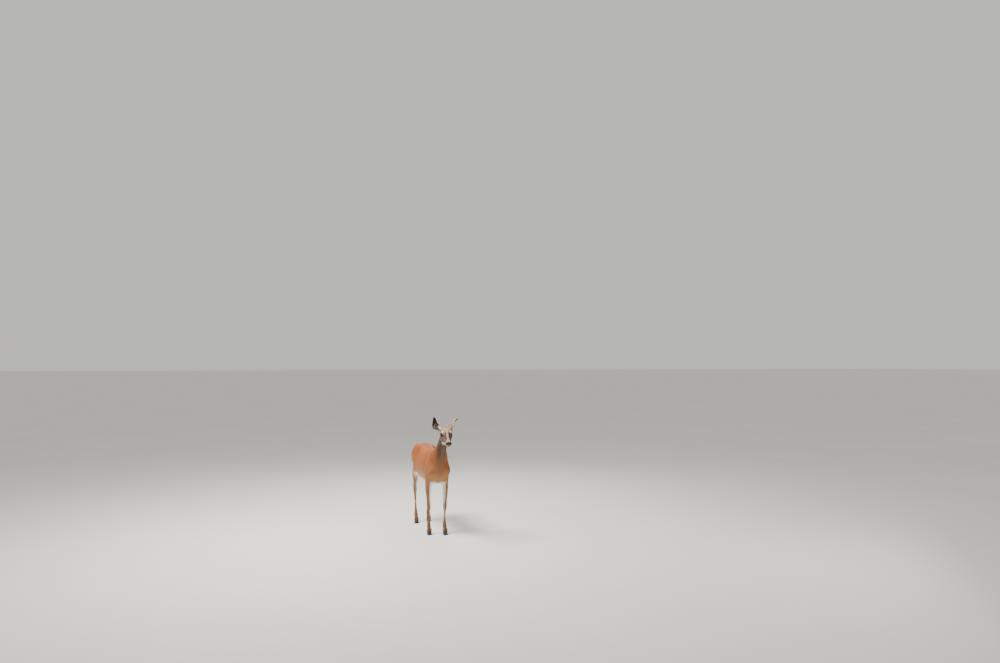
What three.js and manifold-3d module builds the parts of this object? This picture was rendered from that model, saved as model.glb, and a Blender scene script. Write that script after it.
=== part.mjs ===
// A life-size white-tailed deer: an antlerless doe in summer coat, standing square with her neck half raised,
// ears up, looking straight ahead. Units are millimetres, +Z is up, the head points towards -Y, the animal's
// left is +X and the soles stand on z = 0. The flesh is one smooth distance field of named muscles and bones,
// and each sub-part is that field's skin between two flat cuts, drawn as rings round its own middle line.
import * as THREE from "three";
import { mergeVertices } from "three/addons/utils/BufferGeometryUtils.js";
import Module from "manifold-3d";

// ---------- Driving sizes ----------
const gap = 0.3; // left between neighbouring sub-parts
const withersHeight = 870;
const croupHeight = 884;
const chestDepth = 368;
const barrelHalfWidth = 142;
const elbowHeight = 540;
const kneeHeight = 300;
const foreFootX = 78;
const stifleY = 508;
const stifleHeight = 590;
const hockY = 690;
const hockHeight = 388;
const hindFootX = 76;
const fetlockHeight = 108;
const dewclawHeight = 74;
const clawSize = { length: 66, width: 22 };
const headPitch = 26; // degrees that the face points below the horizontal
const headTurn = -5; // degrees that the head turns to the animal's left
const eyeSeat = [-3, -402, 1046]; // midway between the eyes
const earLength = 158;
const eyeRadius = 16.5;
const swing = { foreLeft: -24, foreRight: 26, hindLeft: 38, hindRight: -34 }; // each foot's step back
const forelegCut = 498; // the forelegs leave the chest here
const hindlegCut = 556; // the shanks leave the thighs here

const radians = THREE.MathUtils.degToRad;
const clamp01 = (v) => Math.min(1, Math.max(0, v));

// ---------- Solids: manifold-3d only joins and cuts ----------
const wasm = await Module();
wasm.setup();

function solidOf(geometry) {
  const bare = geometry.clone();
  for (const name of Object.keys(bare.attributes)) if (name !== "position") bare.deleteAttribute(name);
  const merged = mergeVertices(bare, 1e-3);
  const made = new wasm.Manifold(
    new wasm.Mesh({
      numProp: 3,
      vertProperties: new Float32Array(merged.attributes.position.array),
      triVerts: new Uint32Array(merged.index.array),
    }),
  );
  if (made.volume() > 0) return made;
  const index = new Uint32Array(merged.index.array);
  for (let i = 0; i < index.length; i += 3) [index[i], index[i + 1]] = [index[i + 1], index[i]];
  return new wasm.Manifold(
    new wasm.Mesh({ numProp: 3, vertProperties: new Float32Array(merged.attributes.position.array), triVerts: index }),
  );
}

// Only the largest closed surface is kept: a union may seal off a hollow, and a cut may leave a scrap.
function largest(solid) {
  const bodies = solid.decompose();
  return bodies.reduce((best, b) => (b.volume() > best.volume() ? b : best), bodies[0]);
}

function geometryOf(solid) {
  const mesh = largest(solid).getMesh();
  const position = new Float32Array(mesh.numVert * 3);
  for (let i = 0; i < mesh.numVert; i++)
    position.set(mesh.vertProperties.subarray(i * mesh.numProp, i * mesh.numProp + 3), i * 3);
  const geometry = new THREE.BufferGeometry();
  geometry.setAttribute("position", new THREE.BufferAttribute(position, 3));
  geometry.setIndex(new THREE.BufferAttribute(mesh.triVerts, 1));
  geometry.computeVertexNormals();
  return geometry;
}

// The half of a solid on the side that the normal points to, past the point, moved on by shift.
function halfOf(solid, normal, point, shift = 0) {
  return solid.trimByPlane(normal.toArray(), normal.dot(point) + shift);
}

// A closed surface from rings of equal length; each end is a pole point or a flat cap round its middle.
function ringsToGeometry(rings, firstMiddle, lastMiddle) {
  const count = rings[0].length;
  const position = [...rings.flat(2), ...firstMiddle, ...lastMiddle];
  const first = rings.length * count;
  const index = [];
  for (let j = 0; j < count; j++) {
    const next = (j + 1) % count;
    for (let i = 0; i + 1 < rings.length; i++) {
      const [a, b, c, d] = [i * count + j, i * count + next, (i + 1) * count + j, (i + 1) * count + next];
      index.push(a, b, d, a, d, c);
    }
    const last = (rings.length - 1) * count;
    index.push(first, next, j, first + 1, last + j, last + next);
  }
  const geometry = new THREE.BufferGeometry();
  geometry.setAttribute("position", new THREE.Float32BufferAttribute(position, 3));
  geometry.setIndex(index);
  return geometry;
}

// ---------- Distance fields ----------
function smoothMin(a, b, k) {
  const h = Math.max(k - Math.abs(a - b), 0) / k;
  return Math.min(a, b) - (h * h * k) / 4;
}

// A smooth curve through [place, value] pairs, level past both ends.
function through(pairs) {
  const slope = pairs.map((_, i) => {
    const [a, b] = [pairs[Math.max(i - 1, 0)], pairs[Math.min(i + 1, pairs.length - 1)]];
    return (b[1] - a[1]) / (b[0] - a[0]);
  });
  return (s) => {
    if (s <= pairs[0][0]) return pairs[0][1];
    const i = pairs.findIndex((p) => p[0] >= s) - 1;
    if (i < 0) return pairs[pairs.length - 1][1];
    const [[s0, v0], [s1, v1]] = [pairs[i], pairs[i + 1]];
    const span = s1 - s0;
    const t = (s - s0) / span;
    return (
      v0 * (1 + 2 * t) * (1 - t) ** 2 +
      slope[i] * span * t * (1 - t) ** 2 +
      v1 * t * t * (3 - 2 * t) +
      slope[i + 1] * span * t * t * (t - 1)
    );
  };
}

// A run of tapering bones or muscles. Each joint is [x, y, z, radius, width], with width the sideways share.
function limb(joints, k) {
  return (x, y, z) => {
    let found = Infinity;
    for (let i = 0; i + 1 < joints.length; i++) {
      const [a, b] = [joints[i], joints[i + 1]];
      const [dx, dy, dz] = [b[0] - a[0], b[1] - a[1], b[2] - a[2]];
      const along = ((x - a[0]) * dx + (y - a[1]) * dy + (z - a[2]) * dz) / (dx * dx + dy * dy + dz * dz);
      const t = clamp01(along);
      const width = a[4] + t * (b[4] - a[4]);
      const d =
        Math.hypot((x - a[0] - t * dx) / width, y - a[1] - t * dy, z - a[2] - t * dz) - (a[3] + t * (b[3] - a[3]));
      found = smoothMin(found, d * Math.min(1, 0.5 + width / 2), k);
    }
    return found;
  };
}

// An egg of three radii, tipped forwards by tilt degrees in the side view.
function egg([cx, cy, cz], [rx, ry, rz], tilt = 0) {
  const [c, s] = [Math.cos(radians(tilt)), Math.sin(radians(tilt))];
  return (x, y, z) => {
    const [px, py, pz] = [x - cx, (y - cy) * c - (z - cz) * s, (y - cy) * s + (z - cz) * c];
    const near = Math.hypot(px / rx, py / ry, pz / rz);
    return (near * (near - 1)) / (Math.hypot(px / rx ** 2, py / ry ** 2, pz / rz ** 2) + 1e-9);
  };
}

function blend(pieces) {
  return (x, y, z) => pieces.reduce((d, [field, k]) => smoothMin(d, field(x, y, z), k), Infinity);
}

// ---------- Trunk ----------
const chestFront = -172;
const rumpEnd = 762;
const topLine = through([
  [chestFront, 730],
  [-110, 815],
  [-40, withersHeight - 12],
  [30, withersHeight],
  [120, withersHeight - 6],
  [280, withersHeight - 13],
  [430, withersHeight - 7],
  [560, croupHeight],
  [640, croupHeight - 12],
  [715, croupHeight - 52],
  [rumpEnd, 735],
]);
const bottomLine = through([
  [chestFront, 650],
  [-110, 560],
  [-40, withersHeight - chestDepth + 14],
  [40, withersHeight - chestDepth],
  [200, withersHeight - chestDepth - 8],
  [330, withersHeight - chestDepth - 4],
  [440, withersHeight - chestDepth + 32],
  [500, 572],
  [560, 602],
  [640, 628],
  [700, 646],
  [rumpEnd, 690],
]);
const halfWidth = through([
  [chestFront, 30],
  [-120, 66],
  [-40, 100],
  [60, 120],
  [200, barrelHalfWidth - 4],
  [320, barrelHalfWidth],
  [440, barrelHalfWidth - 14],
  [560, 116],
  [650, 98],
  [715, 76],
  [rumpEnd, 30],
]);

// The chest hangs in a keel between the forelegs and rounds out towards the loin.
const keel = through([
  [-100, 1.62],
  [120, 1.8],
  [320, 2.15],
]);

function trunk(x, y, z) {
  const s = Math.min(rumpEnd, Math.max(chestFront, y));
  const [top, bottom, wide] = [topLine(s), bottomLine(s), halfWidth(s)];
  // The widest level lies below the middle, and the back is narrower than the belly.
  const middle = bottom + (top - bottom) * 0.44;
  const high = z > middle ? top - middle : middle - bottom;
  const v = (z - middle) / high;
  const power = z > middle ? 1.9 : keel(s);
  const near = (Math.abs(x / wide) ** power + Math.abs(v) ** power) ** (1 / power);
  const across = (near - 1) * Math.min(wide, high) * 0.9;
  return y === s ? across : Math.hypot(Math.max(across, 0), y - s) + Math.min(across, 0) * 0.2;
}

const shoulder = blend([
  [egg([66, -42, 735], [38, 58, 142], -24), 1], // shoulder blade and its muscles
  [egg([80, -96, 668], [40, 56, 62], -20), 40], // point of the shoulder
  [egg([86, -6, 622], [38, 74, 74], 18), 40], // triceps down to the elbow
]);
const haunch = blend([
  [egg([70, 588, 742], [60, 118, 132], 12), 1], // rump and thigh
  [egg([76, 520, 668], [56, 66, 92], -8), 45], // front of the thigh down to the stifle
  [egg([66, 672, 716], [52, 74, 98], -8), 45], // hamstrings
  [
    limb(
      [
        [56, 728, 742, 34, 0.8],
        [70, 706, 640, 34, 0.8],
        [84, 658, 556, 26, 0.72],
      ],
      14,
    ),
    30,
  ], // the hamstrings' hind edge, down to the gaskin
  [egg([58, 716, 770], [34, 40, 46], 0), 35], // point of the buttock
  [egg([62, 500, 812], [36, 60, 42], 0), 40], // point of the hip
]);

// A foot's step fades out towards the joint that the leg swings from.
const stepAt = (step, z, pivot) => step * clamp01(1 - z / pivot);

function foreleg(step) {
  const at = (x, y, z, r, w) => [x, y + stepAt(step, z, elbowHeight + 60), z, r, w];
  return limb(
    [
      at(90, 4, elbowHeight + 10, 47, 0.74),
      at(90, 0, 470, 38, 0.76),
      at(88, -4, 400, 26.5, 0.84),
      at(84, -4, kneeHeight + 38, 20.5, 0.98),
      at(82, -6, kneeHeight, 21.5, 0.98),
      at(81, -2, kneeHeight - 36, 17.2, 0.98),
      at(80, 1, 205, 14.8, 0.88),
      at(79, 2, 145, 15.4, 0.92),
      at(foreFootX, 3, fetlockHeight, 19.5, 0.98),
      at(foreFootX, -11, dewclawHeight, 16.8, 1.12),
      at(foreFootX, -26, 30, 18.5, 1.16),
    ],
    9,
  );
}

function hindleg(step) {
  const at = (x, y, z, r, w) => [x, y + stepAt(step, z, croupHeight - 120), z, r, w];
  const shank = limb(
    [
      at(98, stifleY + 12, stifleHeight, 60, 0.76),
      at(94, stifleY + 82, 556, 76, 0.5),
      at(90, stifleY + 116, 496, 50, 0.54),
      at(84, stifleY + 162, 438, 34, 0.56),
      at(81, hockY + 2, hockHeight + 8, 25, 0.8),
    ],
    14,
  );
  const tendon = limb([at(88, stifleY + 162, 512, 9, 0.9), at(82, hockY + 26, hockHeight + 50, 9, 0.9)], 8);
  const heel = limb([at(81, hockY + 31, hockHeight + 36, 12.5, 0.95), at(80, hockY + 14, 342, 17, 0.8)], 8);
  const cannon = limb(
    [
      at(81, hockY - 4, hockHeight + 4, 23.5, 0.88),
      at(80, hockY + 6, hockHeight - 42, 20, 0.86),
      at(79, hockY + 2, 285, 16.6, 0.84),
      at(78, hockY - 6, 200, 15.6, 0.84),
      at(77, hockY - 12, 148, 16, 0.9),
      at(hindFootX, hockY - 14, fetlockHeight, 20.5, 0.95),
      at(hindFootX, hockY - 28, dewclawHeight, 17.4, 1.1),
      at(hindFootX, hockY - 43, 30, 19, 1.12),
    ],
    9,
  );
  return blend([
    [shank, 1],
    [tendon, 10],
    [heel, 12],
    [cannon, 12],
  ]);
}

const legs = {
  left: { fore: foreleg(swing.foreLeft), hind: hindleg(swing.hindLeft) },
  right: { fore: foreleg(swing.foreRight), hind: hindleg(swing.hindRight) },
};

// ---------- Neck ----------
const neckJoints = [
  [0, -20, 742, 130, 0.58],
  [0, -120, 822, 100, 0.56],
  [-1, -205, 905, 77, 0.6],
  [-2, -272, 972, 63, 0.7],
  [-3, -330, 1022, 55, 0.82],
];
const neck = limb(neckJoints, 20);

// ---------- Head, in its own frame: origin midway between the eyes, -Y along the face, +Z up ----------
const headPlace = new THREE.Group();
headPlace.position.set(...eyeSeat);
headPlace.rotation.set(radians(headPitch), 0, radians(headTurn), "ZXY");
headPlace.updateMatrix();
const toBody = headPlace.matrix.clone();
const toHead = toBody.clone().invert();

const headHalf = blend([
  [egg([0, 46, 1], [50, 62, 42]), 1], // brain case
  [egg([0, 0, 12], [49, 52, 31]), 24], // forehead
  [
    limb(
      [
        [0, 10, -14, 44, 0.93],
        [0, -55, -16, 33.5, 0.93],
        [0, -102, -13, 28, 0.98],
        [0, -138, -10, 24, 1.12],
      ],
      12,
    ),
    22,
  ], // face and muzzle
  [
    limb(
      [
        [0, -6, 22, 19, 1.15],
        [0, -58, 14, 14.5, 1.1],
        [0, -105, 8, 13.5, 1.15],
        [0, -140, 3.5, 12.5, 1.25],
      ],
      12,
    ),
    14,
  ], // bridge of the nose
  [
    limb(
      [
        [34, 42, -58, 20, 0.7],
        [22, -28, -49, 16, 0.85],
        [14, -86, -38, 12, 1],
        [8, -134, -30, 10, 1.1],
      ],
      10,
    ),
    18,
  ], // lower jaw
  [egg([37, 20, -30], [17, 44, 36], -12), 20], // cheek muscle
  [
    limb(
      [
        [48, 40, -4, 8, 1],
        [50, 2, -12, 9, 1],
        [36, -42, -18, 9, 1],
        [23, -90, -15, 9, 1],
      ],
      6,
    ),
    14,
  ], // cheekbone
  [egg([43, 3, 13], [15, 23, 20]), 12], // eye socket
  [
    limb(
      [
        [37, 24, 31, 8, 1],
        [47, 0, 28, 7, 1],
        [41, -20, 20, 6, 1],
      ],
      6,
    ),
    12,
  ], // brow
  [
    limb(
      [
        [30, 52, 8, 21, 1],
        [42, 65, 20, 14, 1],
      ],
      8,
    ),
    16,
  ], // root of the ear
  [egg([0, -155, -1], [24, 17, 17]), 8], // nose pad
  [egg([18, -151, -3], [11.5, 14, 13]), 8], // nostril wing
  [egg([15, -137, -18], [17.5, 27, 14]), 10], // upper lip
  [egg([0, -143, -33], [17, 21, 11]), 6], // chin
]);
const headField = (x, y, z) => headHalf(Math.abs(x), y, z);

// ---------- The whole animal's flesh ----------
const bodyPoint = new THREE.Vector3();
const headPoint = new THREE.Vector3();

function flesh(x, y, z) {
  const side = Math.abs(x);
  const leg = x > 0 ? legs.left : legs.right;
  let d = trunk(x, y, z);
  if (y < 260) d = smoothMin(d, shoulder(side, y, z), 38);
  if (y > 250) d = smoothMin(d, haunch(side, y, z), 44);
  if (y < 260 && z < 660) d = smoothMin(d, leg.fore(side, y, z), 30);
  if (y > 250 && z < 760) d = smoothMin(d, leg.hind(side, y, z), 34);
  if (y < 200) d = smoothMin(d, neck(x, y, z), 50);
  if (y < -150 && z > 780) {
    headPoint.set(x, y, z).applyMatrix4(toHead);
    d = smoothMin(d, headField(headPoint.x, headPoint.y, headPoint.z), 26);
  }
  return d;
}

function fleshInHead(x, y, z) {
  bodyPoint.set(x, y, z).applyMatrix4(toBody);
  return flesh(bodyPoint.x, bodyPoint.y, bodyPoint.z);
}

// ---------- Skin drawn as rings ----------
// How far the flesh reaches from a point inside it, along a direction.
function reach(field, from, way, level) {
  const step = 3;
  const value = (t) => field(from.x + way.x * t, from.y + way.y * t, from.z + way.z * t) - level;
  let far = step;
  while (value(far) < 0 && far < 600) far += step;
  let near = far - step;
  for (let i = 0; i < 12; i++) {
    const half = (near + far) / 2;
    if (value(half) < 0) near = half;
    else far = half;
  }
  return (near + far) / 2;
}

// Stations are { at, normal, tilt }: rays leave the middle point across the normal, or leaning tilt degrees
// along it. The ends close with a flat cap, or with a pole where poles says so.
function wrap(field, stations, sides, { level = 0, poles = [false, false], turn = 0 } = {}) {
  const ray = new THREE.Vector3();
  const middles = [];
  const rings = stations.map(({ at, normal, tilt = 0 }) => {
    const aside = new THREE.Vector3(1, 0, 0).addScaledVector(normal, -normal.x).normalize();
    const up = new THREE.Vector3().crossVectors(normal, aside);
    middles.push(at);
    return Array.from({ length: sides }, (_, j) => {
      const angle = (2 * Math.PI * j) / sides + turn;
      ray.copy(aside).multiplyScalar(Math.cos(angle)).addScaledVector(up, Math.sin(angle));
      ray.multiplyScalar(Math.cos(radians(tilt))).addScaledVector(normal, Math.sin(radians(tilt)));
      const far = reach(field, at, ray, level);
      return [at.x + ray.x * far, at.y + ray.y * far, at.z + ray.z * far];
    });
  });
  const ends = [0, stations.length - 1].map((i) => {
    if (!poles[i ? 1 : 0]) return middles[i].toArray();
    ray.copy(stations[i].normal).multiplyScalar(i ? 1 : -1);
    return middles[i].clone().addScaledVector(ray, reach(field, middles[i], ray, level)).toArray();
  });
  return ringsToGeometry(rings, ...ends);
}

const point = (x, y, z) => new THREE.Vector3(x, y, z);
const upright = point(0, 0, 1);
const backwards = point(0, 1, 0);

// Level rings at the given heights, each round a middle that moves with height.
function levelRings(heights, middleAt) {
  return heights.map((z) => ({ at: point(...middleAt(z), z), normal: upright }));
}

function steps(from, to, count) {
  return Array.from({ length: count + 1 }, (_, i) => from + ((to - from) * i) / count);
}

// A block between two sideways planes, with its outline given in the side view as [y, z] corners.
function sideBlock(corners, near, far) {
  const shape = new THREE.Shape(corners.map(([y, z]) => new THREE.Vector2(y, z)));
  const block = new THREE.ExtrudeGeometry(shape, { depth: Math.abs(far - near), bevelEnabled: false });
  // The outline's first axis becomes Y, its second Z, and its depth runs along X.
  block.applyMatrix4(new THREE.Matrix4().makeBasis(point(0, 1, 0), point(0, 0, 1), point(1, 0, 0)));
  block.translate(Math.min(near, far), 0, 0);
  return solidOf(block);
}

// Corners moved out from their common middle, for the gap between a block and the hole that it leaves.
function grown(corners, by) {
  const count = corners.length;
  return corners.map(([y, z], i) => {
    const [py, pz] = corners[(i + count - 1) % count];
    const [ny, nz] = corners[(i + 1) % count];
    const [a, b] = [Math.hypot(y - py, z - pz), Math.hypot(ny - y, nz - z)];
    const [n1, n2] = [
      [(z - pz) / a, (py - y) / a],
      [(nz - z) / b, (y - ny) / b],
    ];
    const share = by / (1 + n1[0] * n2[0] + n1[1] * n2[1]);
    return [y + (n1[0] + n2[0]) * share, z + (n1[1] + n2[1]) * share];
  });
}

// ---------- Colours of the coat, horn and eyes ----------
const coat = (colour, roughness = 0.85) => new THREE.MeshStandardMaterial({ color: colour, roughness, metalness: 0 });
const redCoat = coat("#b4713f");
const neckCoat = coat("#a06a44");
const faceCoat = coat("#98684a");
const legCoat = coat("#b27c4c");
const earSkin = coat("#8c6a55");
const tailCoat = coat("#8a5a36");
const noseSkin = coat("#17130f", 0.35);
const eyeGlass = coat("#120b07", 0.06);
const horn = coat("#221c18", 0.45);

const deer = new THREE.Group();

function addNode(parent, name, solid, material) {
  const mesh = new THREE.Mesh(geometryOf(solid), material);
  mesh.name = name;
  parent.add(mesh);
  return mesh;
}

// ---------- Where the sub-parts are cut from each other ----------
const neckBase = { at: point(0, -96, 792), normal: point(0, -0.74, 0.673).normalize() };
const throatLocal = { at: point(0, 84, -22), normal: point(0, -0.9, 0.436).normalize() };
const throat = {
  at: throatLocal.at.clone().applyMatrix4(toBody),
  normal: throatLocal.normal.clone().transformDirection(toBody),
};
const shoulderOutline = [
  [-64, 806],
  [-126, 706],
  [-136, 610],
  [-84, forelegCut],
  [84, forelegCut],
  [104, 640],
  [66, 806],
];
const thighOutline = [
  [520, 806],
  [424, 690],
  [462, hindlegCut],
  [840, hindlegCut],
  [840, 806],
];
const shankOutline = [
  [462, hindlegCut - gap],
  [462, 100],
  [840, 100],
  [840, hindlegCut - gap],
];
const shoulderInside = 52;
const thighInside = 30;
const beyondFlank = 300; // the side cuts run out to here
const innerSpare = 14; // flesh drawn past a sub-part's inner plane before it is cut there
const belowLegs = 120; // the cuts out of the trunk run this far on below the tops of the legs

// ---------- Trunk solid ----------
function makeTrunk() {
  const legRoom = forelegCut - 26; // the trunk's own skin ends below the tops of the legs
  const loose = 45;
  const field = (x, y, z) => {
    const past =
      (y - neckBase.at.y) * neckBase.normal.y + (z - neckBase.at.z) * neckBase.normal.z - loose;
    return Math.max(flesh(x, y, z), past, legRoom - z);
  };
  const middle = (y) => bottomLine(y) + (topLine(y) - bottomLine(y)) * 0.5;
  const frontMiddle = -60;
  const rearMiddle = 640;
  const fan = [78, 62, 46, 30, 14];
  const stations = [
    ...fan.map((tilt) => ({ at: point(0, frontMiddle, middle(frontMiddle)), normal: backwards, tilt: -tilt })),
    ...steps(frontMiddle, rearMiddle, 20).map((y) => ({ at: point(0, y, middle(y)), normal: backwards })),
    ...fan.reverse().map((tilt) => ({ at: point(0, rearMiddle, middle(rearMiddle)), normal: backwards, tilt })),
  ];
  return (level) => solidOf(wrap(field, stations, 32, { level, poles: [true, true] }));
}

const trunkAt = makeTrunk();
let trunkSolid = halfOf(trunkAt(0), neckBase.normal.clone().negate(), neckBase.at);
for (const [corners, inside, level] of [
  [shoulderOutline, shoulderInside, forelegCut],
  [thighOutline, thighInside, hindlegCut],
]) {
  const lowered = corners.flatMap(([y, z]) => {
    if (z > level) return [[y, z]];
    const pair = [
      [y, z],
      [y, z - belowLegs],
    ];
    return y < 0.5 * (corners[0][0] + corners[corners.length - 1][0]) ? pair : pair.reverse();
  });
  for (const side of [1, -1])
    trunkSolid = trunkSolid.subtract(sideBlock(grown(lowered, gap), side * (inside - gap), side * beyondFlank));
}
addNode(deer, "trunk", trunkSolid, redCoat);

// ---------- Neck solid ----------
function makeNeck() {
  const [count, sides] = [10, 24];
  const [from, to] = [
    neckBase.at.clone().addScaledVector(neckBase.normal, gap),
    throat.at.clone().addScaledVector(throat.normal, -gap),
  ];
  const bow = new THREE.QuadraticBezierCurve3(from, point(-3, -232, 912), to);
  const stations = steps(0, 1, count).map((t) => ({
    at: bow.getPoint(t),
    normal: neckBase.normal.clone().lerp(throat.normal, t).normalize(),
  }));
  return solidOf(wrap(flesh, stations, sides, { turn: Math.PI / sides }));
}
addNode(deer, "neck", makeNeck(), neckCoat);

// ---------- Shoulders and thighs ----------
function makeQuarter(side, corners, inside, heights, middleAt) {
  const loose = 30;
  const [lowY, highY] = [Math.min(...corners.map((c) => c[0])), Math.max(...corners.map((c) => c[0]))];
  const field = (x, y, z) =>
    Math.max(flesh(x, y, z), inside - innerSpare - side * x, lowY - loose - y, y - highY - loose);
  const around = wrap(field, levelRings(heights, middleAt), 24);
  return solidOf(around).intersect(sideBlock(corners, side * inside, side * beyondFlank));
}

for (const [name, side] of [
  ["left", 1],
  ["right", -1],
]) {
  const bladeLine = through([
    [forelegCut, -2],
    [620, -30],
    [806, 0],
  ]);
  const bladeDepth = through([
    [forelegCut, 88],
    [620, 76],
    [806, 66],
  ]);
  const blade = makeQuarter(side, shoulderOutline, shoulderInside, steps(forelegCut, 806, 11), (z) => [
    side * bladeDepth(z),
    bladeLine(z),
  ]);
  addNode(deer, `shoulder_${name}`, blade, redCoat);
  const thighLine = through([
    [hindlegCut, stifleY + 82],
    [640, 600],
    [806, 622],
  ]);
  const thighDepth = through([
    [hindlegCut, 92],
    [640, 82],
    [806, 66],
  ]);
  const thigh = makeQuarter(side, thighOutline, thighInside, steps(hindlegCut, 806, 11), (z) => [
    side * thighDepth(z),
    thighLine(z),
  ]);
  addNode(deer, `thigh_${name}`, thigh, redCoat);
}

// ---------- Lower legs ----------
const coronet = { height: 31, tilt: 22 }; // where the hoof begins, and how much its rim drops backwards
const footSides = 12;

// Rings from one height down to another. The last run leans over until it lies along the coronet.
function legSolid(side, heights, middleAt, sides, lean = 0) {
  const inside = thighInside - innerSpare;
  const field = (x, y, z) => Math.max(flesh(x, y, z), inside - side * x);
  const [top, low] = [heights[0], heights[heights.length - 1]];
  const stations = heights.map((z) => {
    const share = lean ? clamp01((top - z) / (top - low)) : 0;
    const [x, y] = middleAt(z);
    return { at: point(side * x, y, z), normal: upright.clone().applyAxisAngle(point(1, 0, 0), radians(-lean * share)) };
  });
  return (level) => solidOf(wrap(field, stations, sides, { level }));
}

// One of a foot's two claws: a flat-soled wedge with a pointed toe, flat on the side that faces its twin.
function makeClaw(length, width, height) {
  const outline = (scale, toe, heel) => {
    const round = steps(0, Math.PI, 8).map((a) => {
      const [along, out] = [Math.cos(a), Math.sin(a)];
      const y = along > 0 ? -toe * along ** 0.9 : heel * Math.abs(along);
      return [width * scale * (along > 0 ? out ** 0.85 * (1 - 0.12 * along) : out ** 0.7), y];
    });
    const inner = [0.6, 0.2, -0.2, -0.6].map((share) => [0, share < 0 ? toe * share : heel * share]);
    return [...round, ...inner];
  };
  const rim = Math.tan(radians(coronet.tilt));
  const spare = 5; // stands above the coronet until the rim is cut
  const layers = [
    [0, 1, length * 0.66, length * 0.34],
    [height * 0.3, 1.02, length * 0.58, length * 0.34],
    [height * 0.7, 0.97, length * 0.42, length * 0.33],
    [height + spare, 0.9, length * 0.28, length * 0.33],
  ];
  const rings = layers.map(([z, scale, toe, heel]) =>
    outline(scale, toe, heel).map(([x, y]) => [x, y, z === 0 ? 0 : z - (y * rim * z) / height]),
  );
  const middle = (ring) => [0, 1, 2].map((axis) => ring.reduce((sum, p) => sum + p[axis], 0) / ring.length);
  return ringsToGeometry(rings, middle(rings[0]), middle(rings[rings.length - 1]));
}

// The claws stand under the middle of the coronet, and the dewclaws sit in the back of the pastern.
function addFoot(name, side, [x, y], [spurX, spurY], pastern) {
  const splay = radians(4);
  for (const [place, out] of [
    ["outer", side],
    ["inner", -side],
  ]) {
    const claw = makeClaw(clawSize.length, clawSize.width, coronet.height);
    claw.scale(out, 1, 1);
    claw.rotateZ(out * splay);
    claw.translate(x + out * 2, y, 0);
    const rim = point(0, -Math.sin(radians(coronet.tilt)), -Math.cos(radians(coronet.tilt)));
    addNode(deer, `${name}_claw_${place}`, halfOf(solidOf(claw), rim, point(x, y, coronet.height), gap), horn);
  }
  for (const [place, out] of [
    ["outer", side],
    ["inner", -side],
  ]) {
    const spur = new THREE.SphereGeometry(1, 8, 6);
    spur.scale(7.5, 7, 13);
    spur.rotateX(radians(-28));
    spur.translate(spurX + out * 11, spurY + 17, dewclawHeight);
    addNode(deer, `${name}_dewclaw_${place}`, solidOf(spur).subtract(pastern), horn);
  }
}

for (const [name, side] of [
  ["left", 1],
  ["right", -1],
]) {
  const foreStep = swing[name === "left" ? "foreLeft" : "foreRight"];
  const foreMiddle = (z) => {
    const line = through([
      [coronet.height, -26],
      [dewclawHeight, -11],
      [fetlockHeight, 3],
      [kneeHeight, -4],
      [forelegCut, 0],
    ]);
    const aside = through([
      [coronet.height, foreFootX],
      [fetlockHeight, foreFootX],
      [kneeHeight, 82],
      [400, 88],
      [forelegCut, 90],
    ]);
    return [aside(z), line(z) + stepAt(foreStep, z, elbowHeight + 60)];
  };
  const knee = 262;
  const pasternTop = 134;
  const arm = legSolid(side, [forelegCut - gap, 470, 440, 405, 370, 345, 325, 305, 288, knee], foreMiddle, 14);
  addNode(deer, `forearm_${name}`, arm(0), legCoat);
  const shin = legSolid(side, [knee - gap, 245, 220, 180, 150, pasternTop], foreMiddle, footSides);
  addNode(deer, `fore_cannon_${name}`, shin(0), legCoat);
  const pastern = legSolid(
    side,
    [pasternTop - gap, 120, 106, 92, 76, 60, 46, coronet.height],
    foreMiddle,
    14,
    coronet.tilt,
  );
  addNode(deer, `fore_pastern_${name}`, pastern(0), legCoat);
  const mirrored = ([x, y]) => [side * x, y];
  addFoot(`fore_${name}`, side, mirrored(foreMiddle(coronet.height)), mirrored(foreMiddle(dewclawHeight)), pastern(gap));

  const hindStep = swing[name === "left" ? "hindLeft" : "hindRight"];
  const hindMiddle = (z) => {
    const line = through([
      [coronet.height, hockY - 43],
      [dewclawHeight, hockY - 28],
      [fetlockHeight, hockY - 14],
      [200, hockY - 6],
      [340, hockY + 8],
      [hockHeight, hockY + 6],
      [438, stifleY + 166],
      [496, stifleY + 120],
      [hindlegCut, stifleY + 82],
    ]);
    const aside = through([
      [coronet.height, hindFootX],
      [fetlockHeight, hindFootX],
      [340, 80],
      [455, 88],
      [hindlegCut, 95],
    ]);
    return [aside(z), line(z) + stepAt(hindStep, z, croupHeight - 120)];
  };
  const hockCut = 334;
  const shank = legSolid(
    side,
    [hindlegCut - gap, 535, 512, 490, 468, 448, 434, 420, 406, 390, 370, 350, hockCut],
    hindMiddle,
    16,
  );
  const room = sideBlock(shankOutline, side * thighInside, side * beyondFlank);
  addNode(deer, `shank_${name}`, shank(0).intersect(room), legCoat);
  const cannon = legSolid(side, [hockCut - gap, 305, 265, 220, 175, 150, pasternTop], hindMiddle, footSides);
  addNode(deer, `hind_cannon_${name}`, cannon(0), legCoat);
  const hindPastern = legSolid(
    side,
    [pasternTop - gap, 120, 106, 92, 76, 60, 46, coronet.height],
    hindMiddle,
    14,
    coronet.tilt,
  );
  addNode(deer, `hind_pastern_${name}`, hindPastern(0), legCoat);
  addFoot(`hind_${name}`, side, mirrored(hindMiddle(coronet.height)), mirrored(hindMiddle(dewclawHeight)), hindPastern(gap));
}

// ---------- Head ----------
const headGroup = new THREE.Group();
headGroup.position.copy(headPlace.position);
headGroup.rotation.copy(headPlace.rotation);
deer.add(headGroup);

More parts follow.
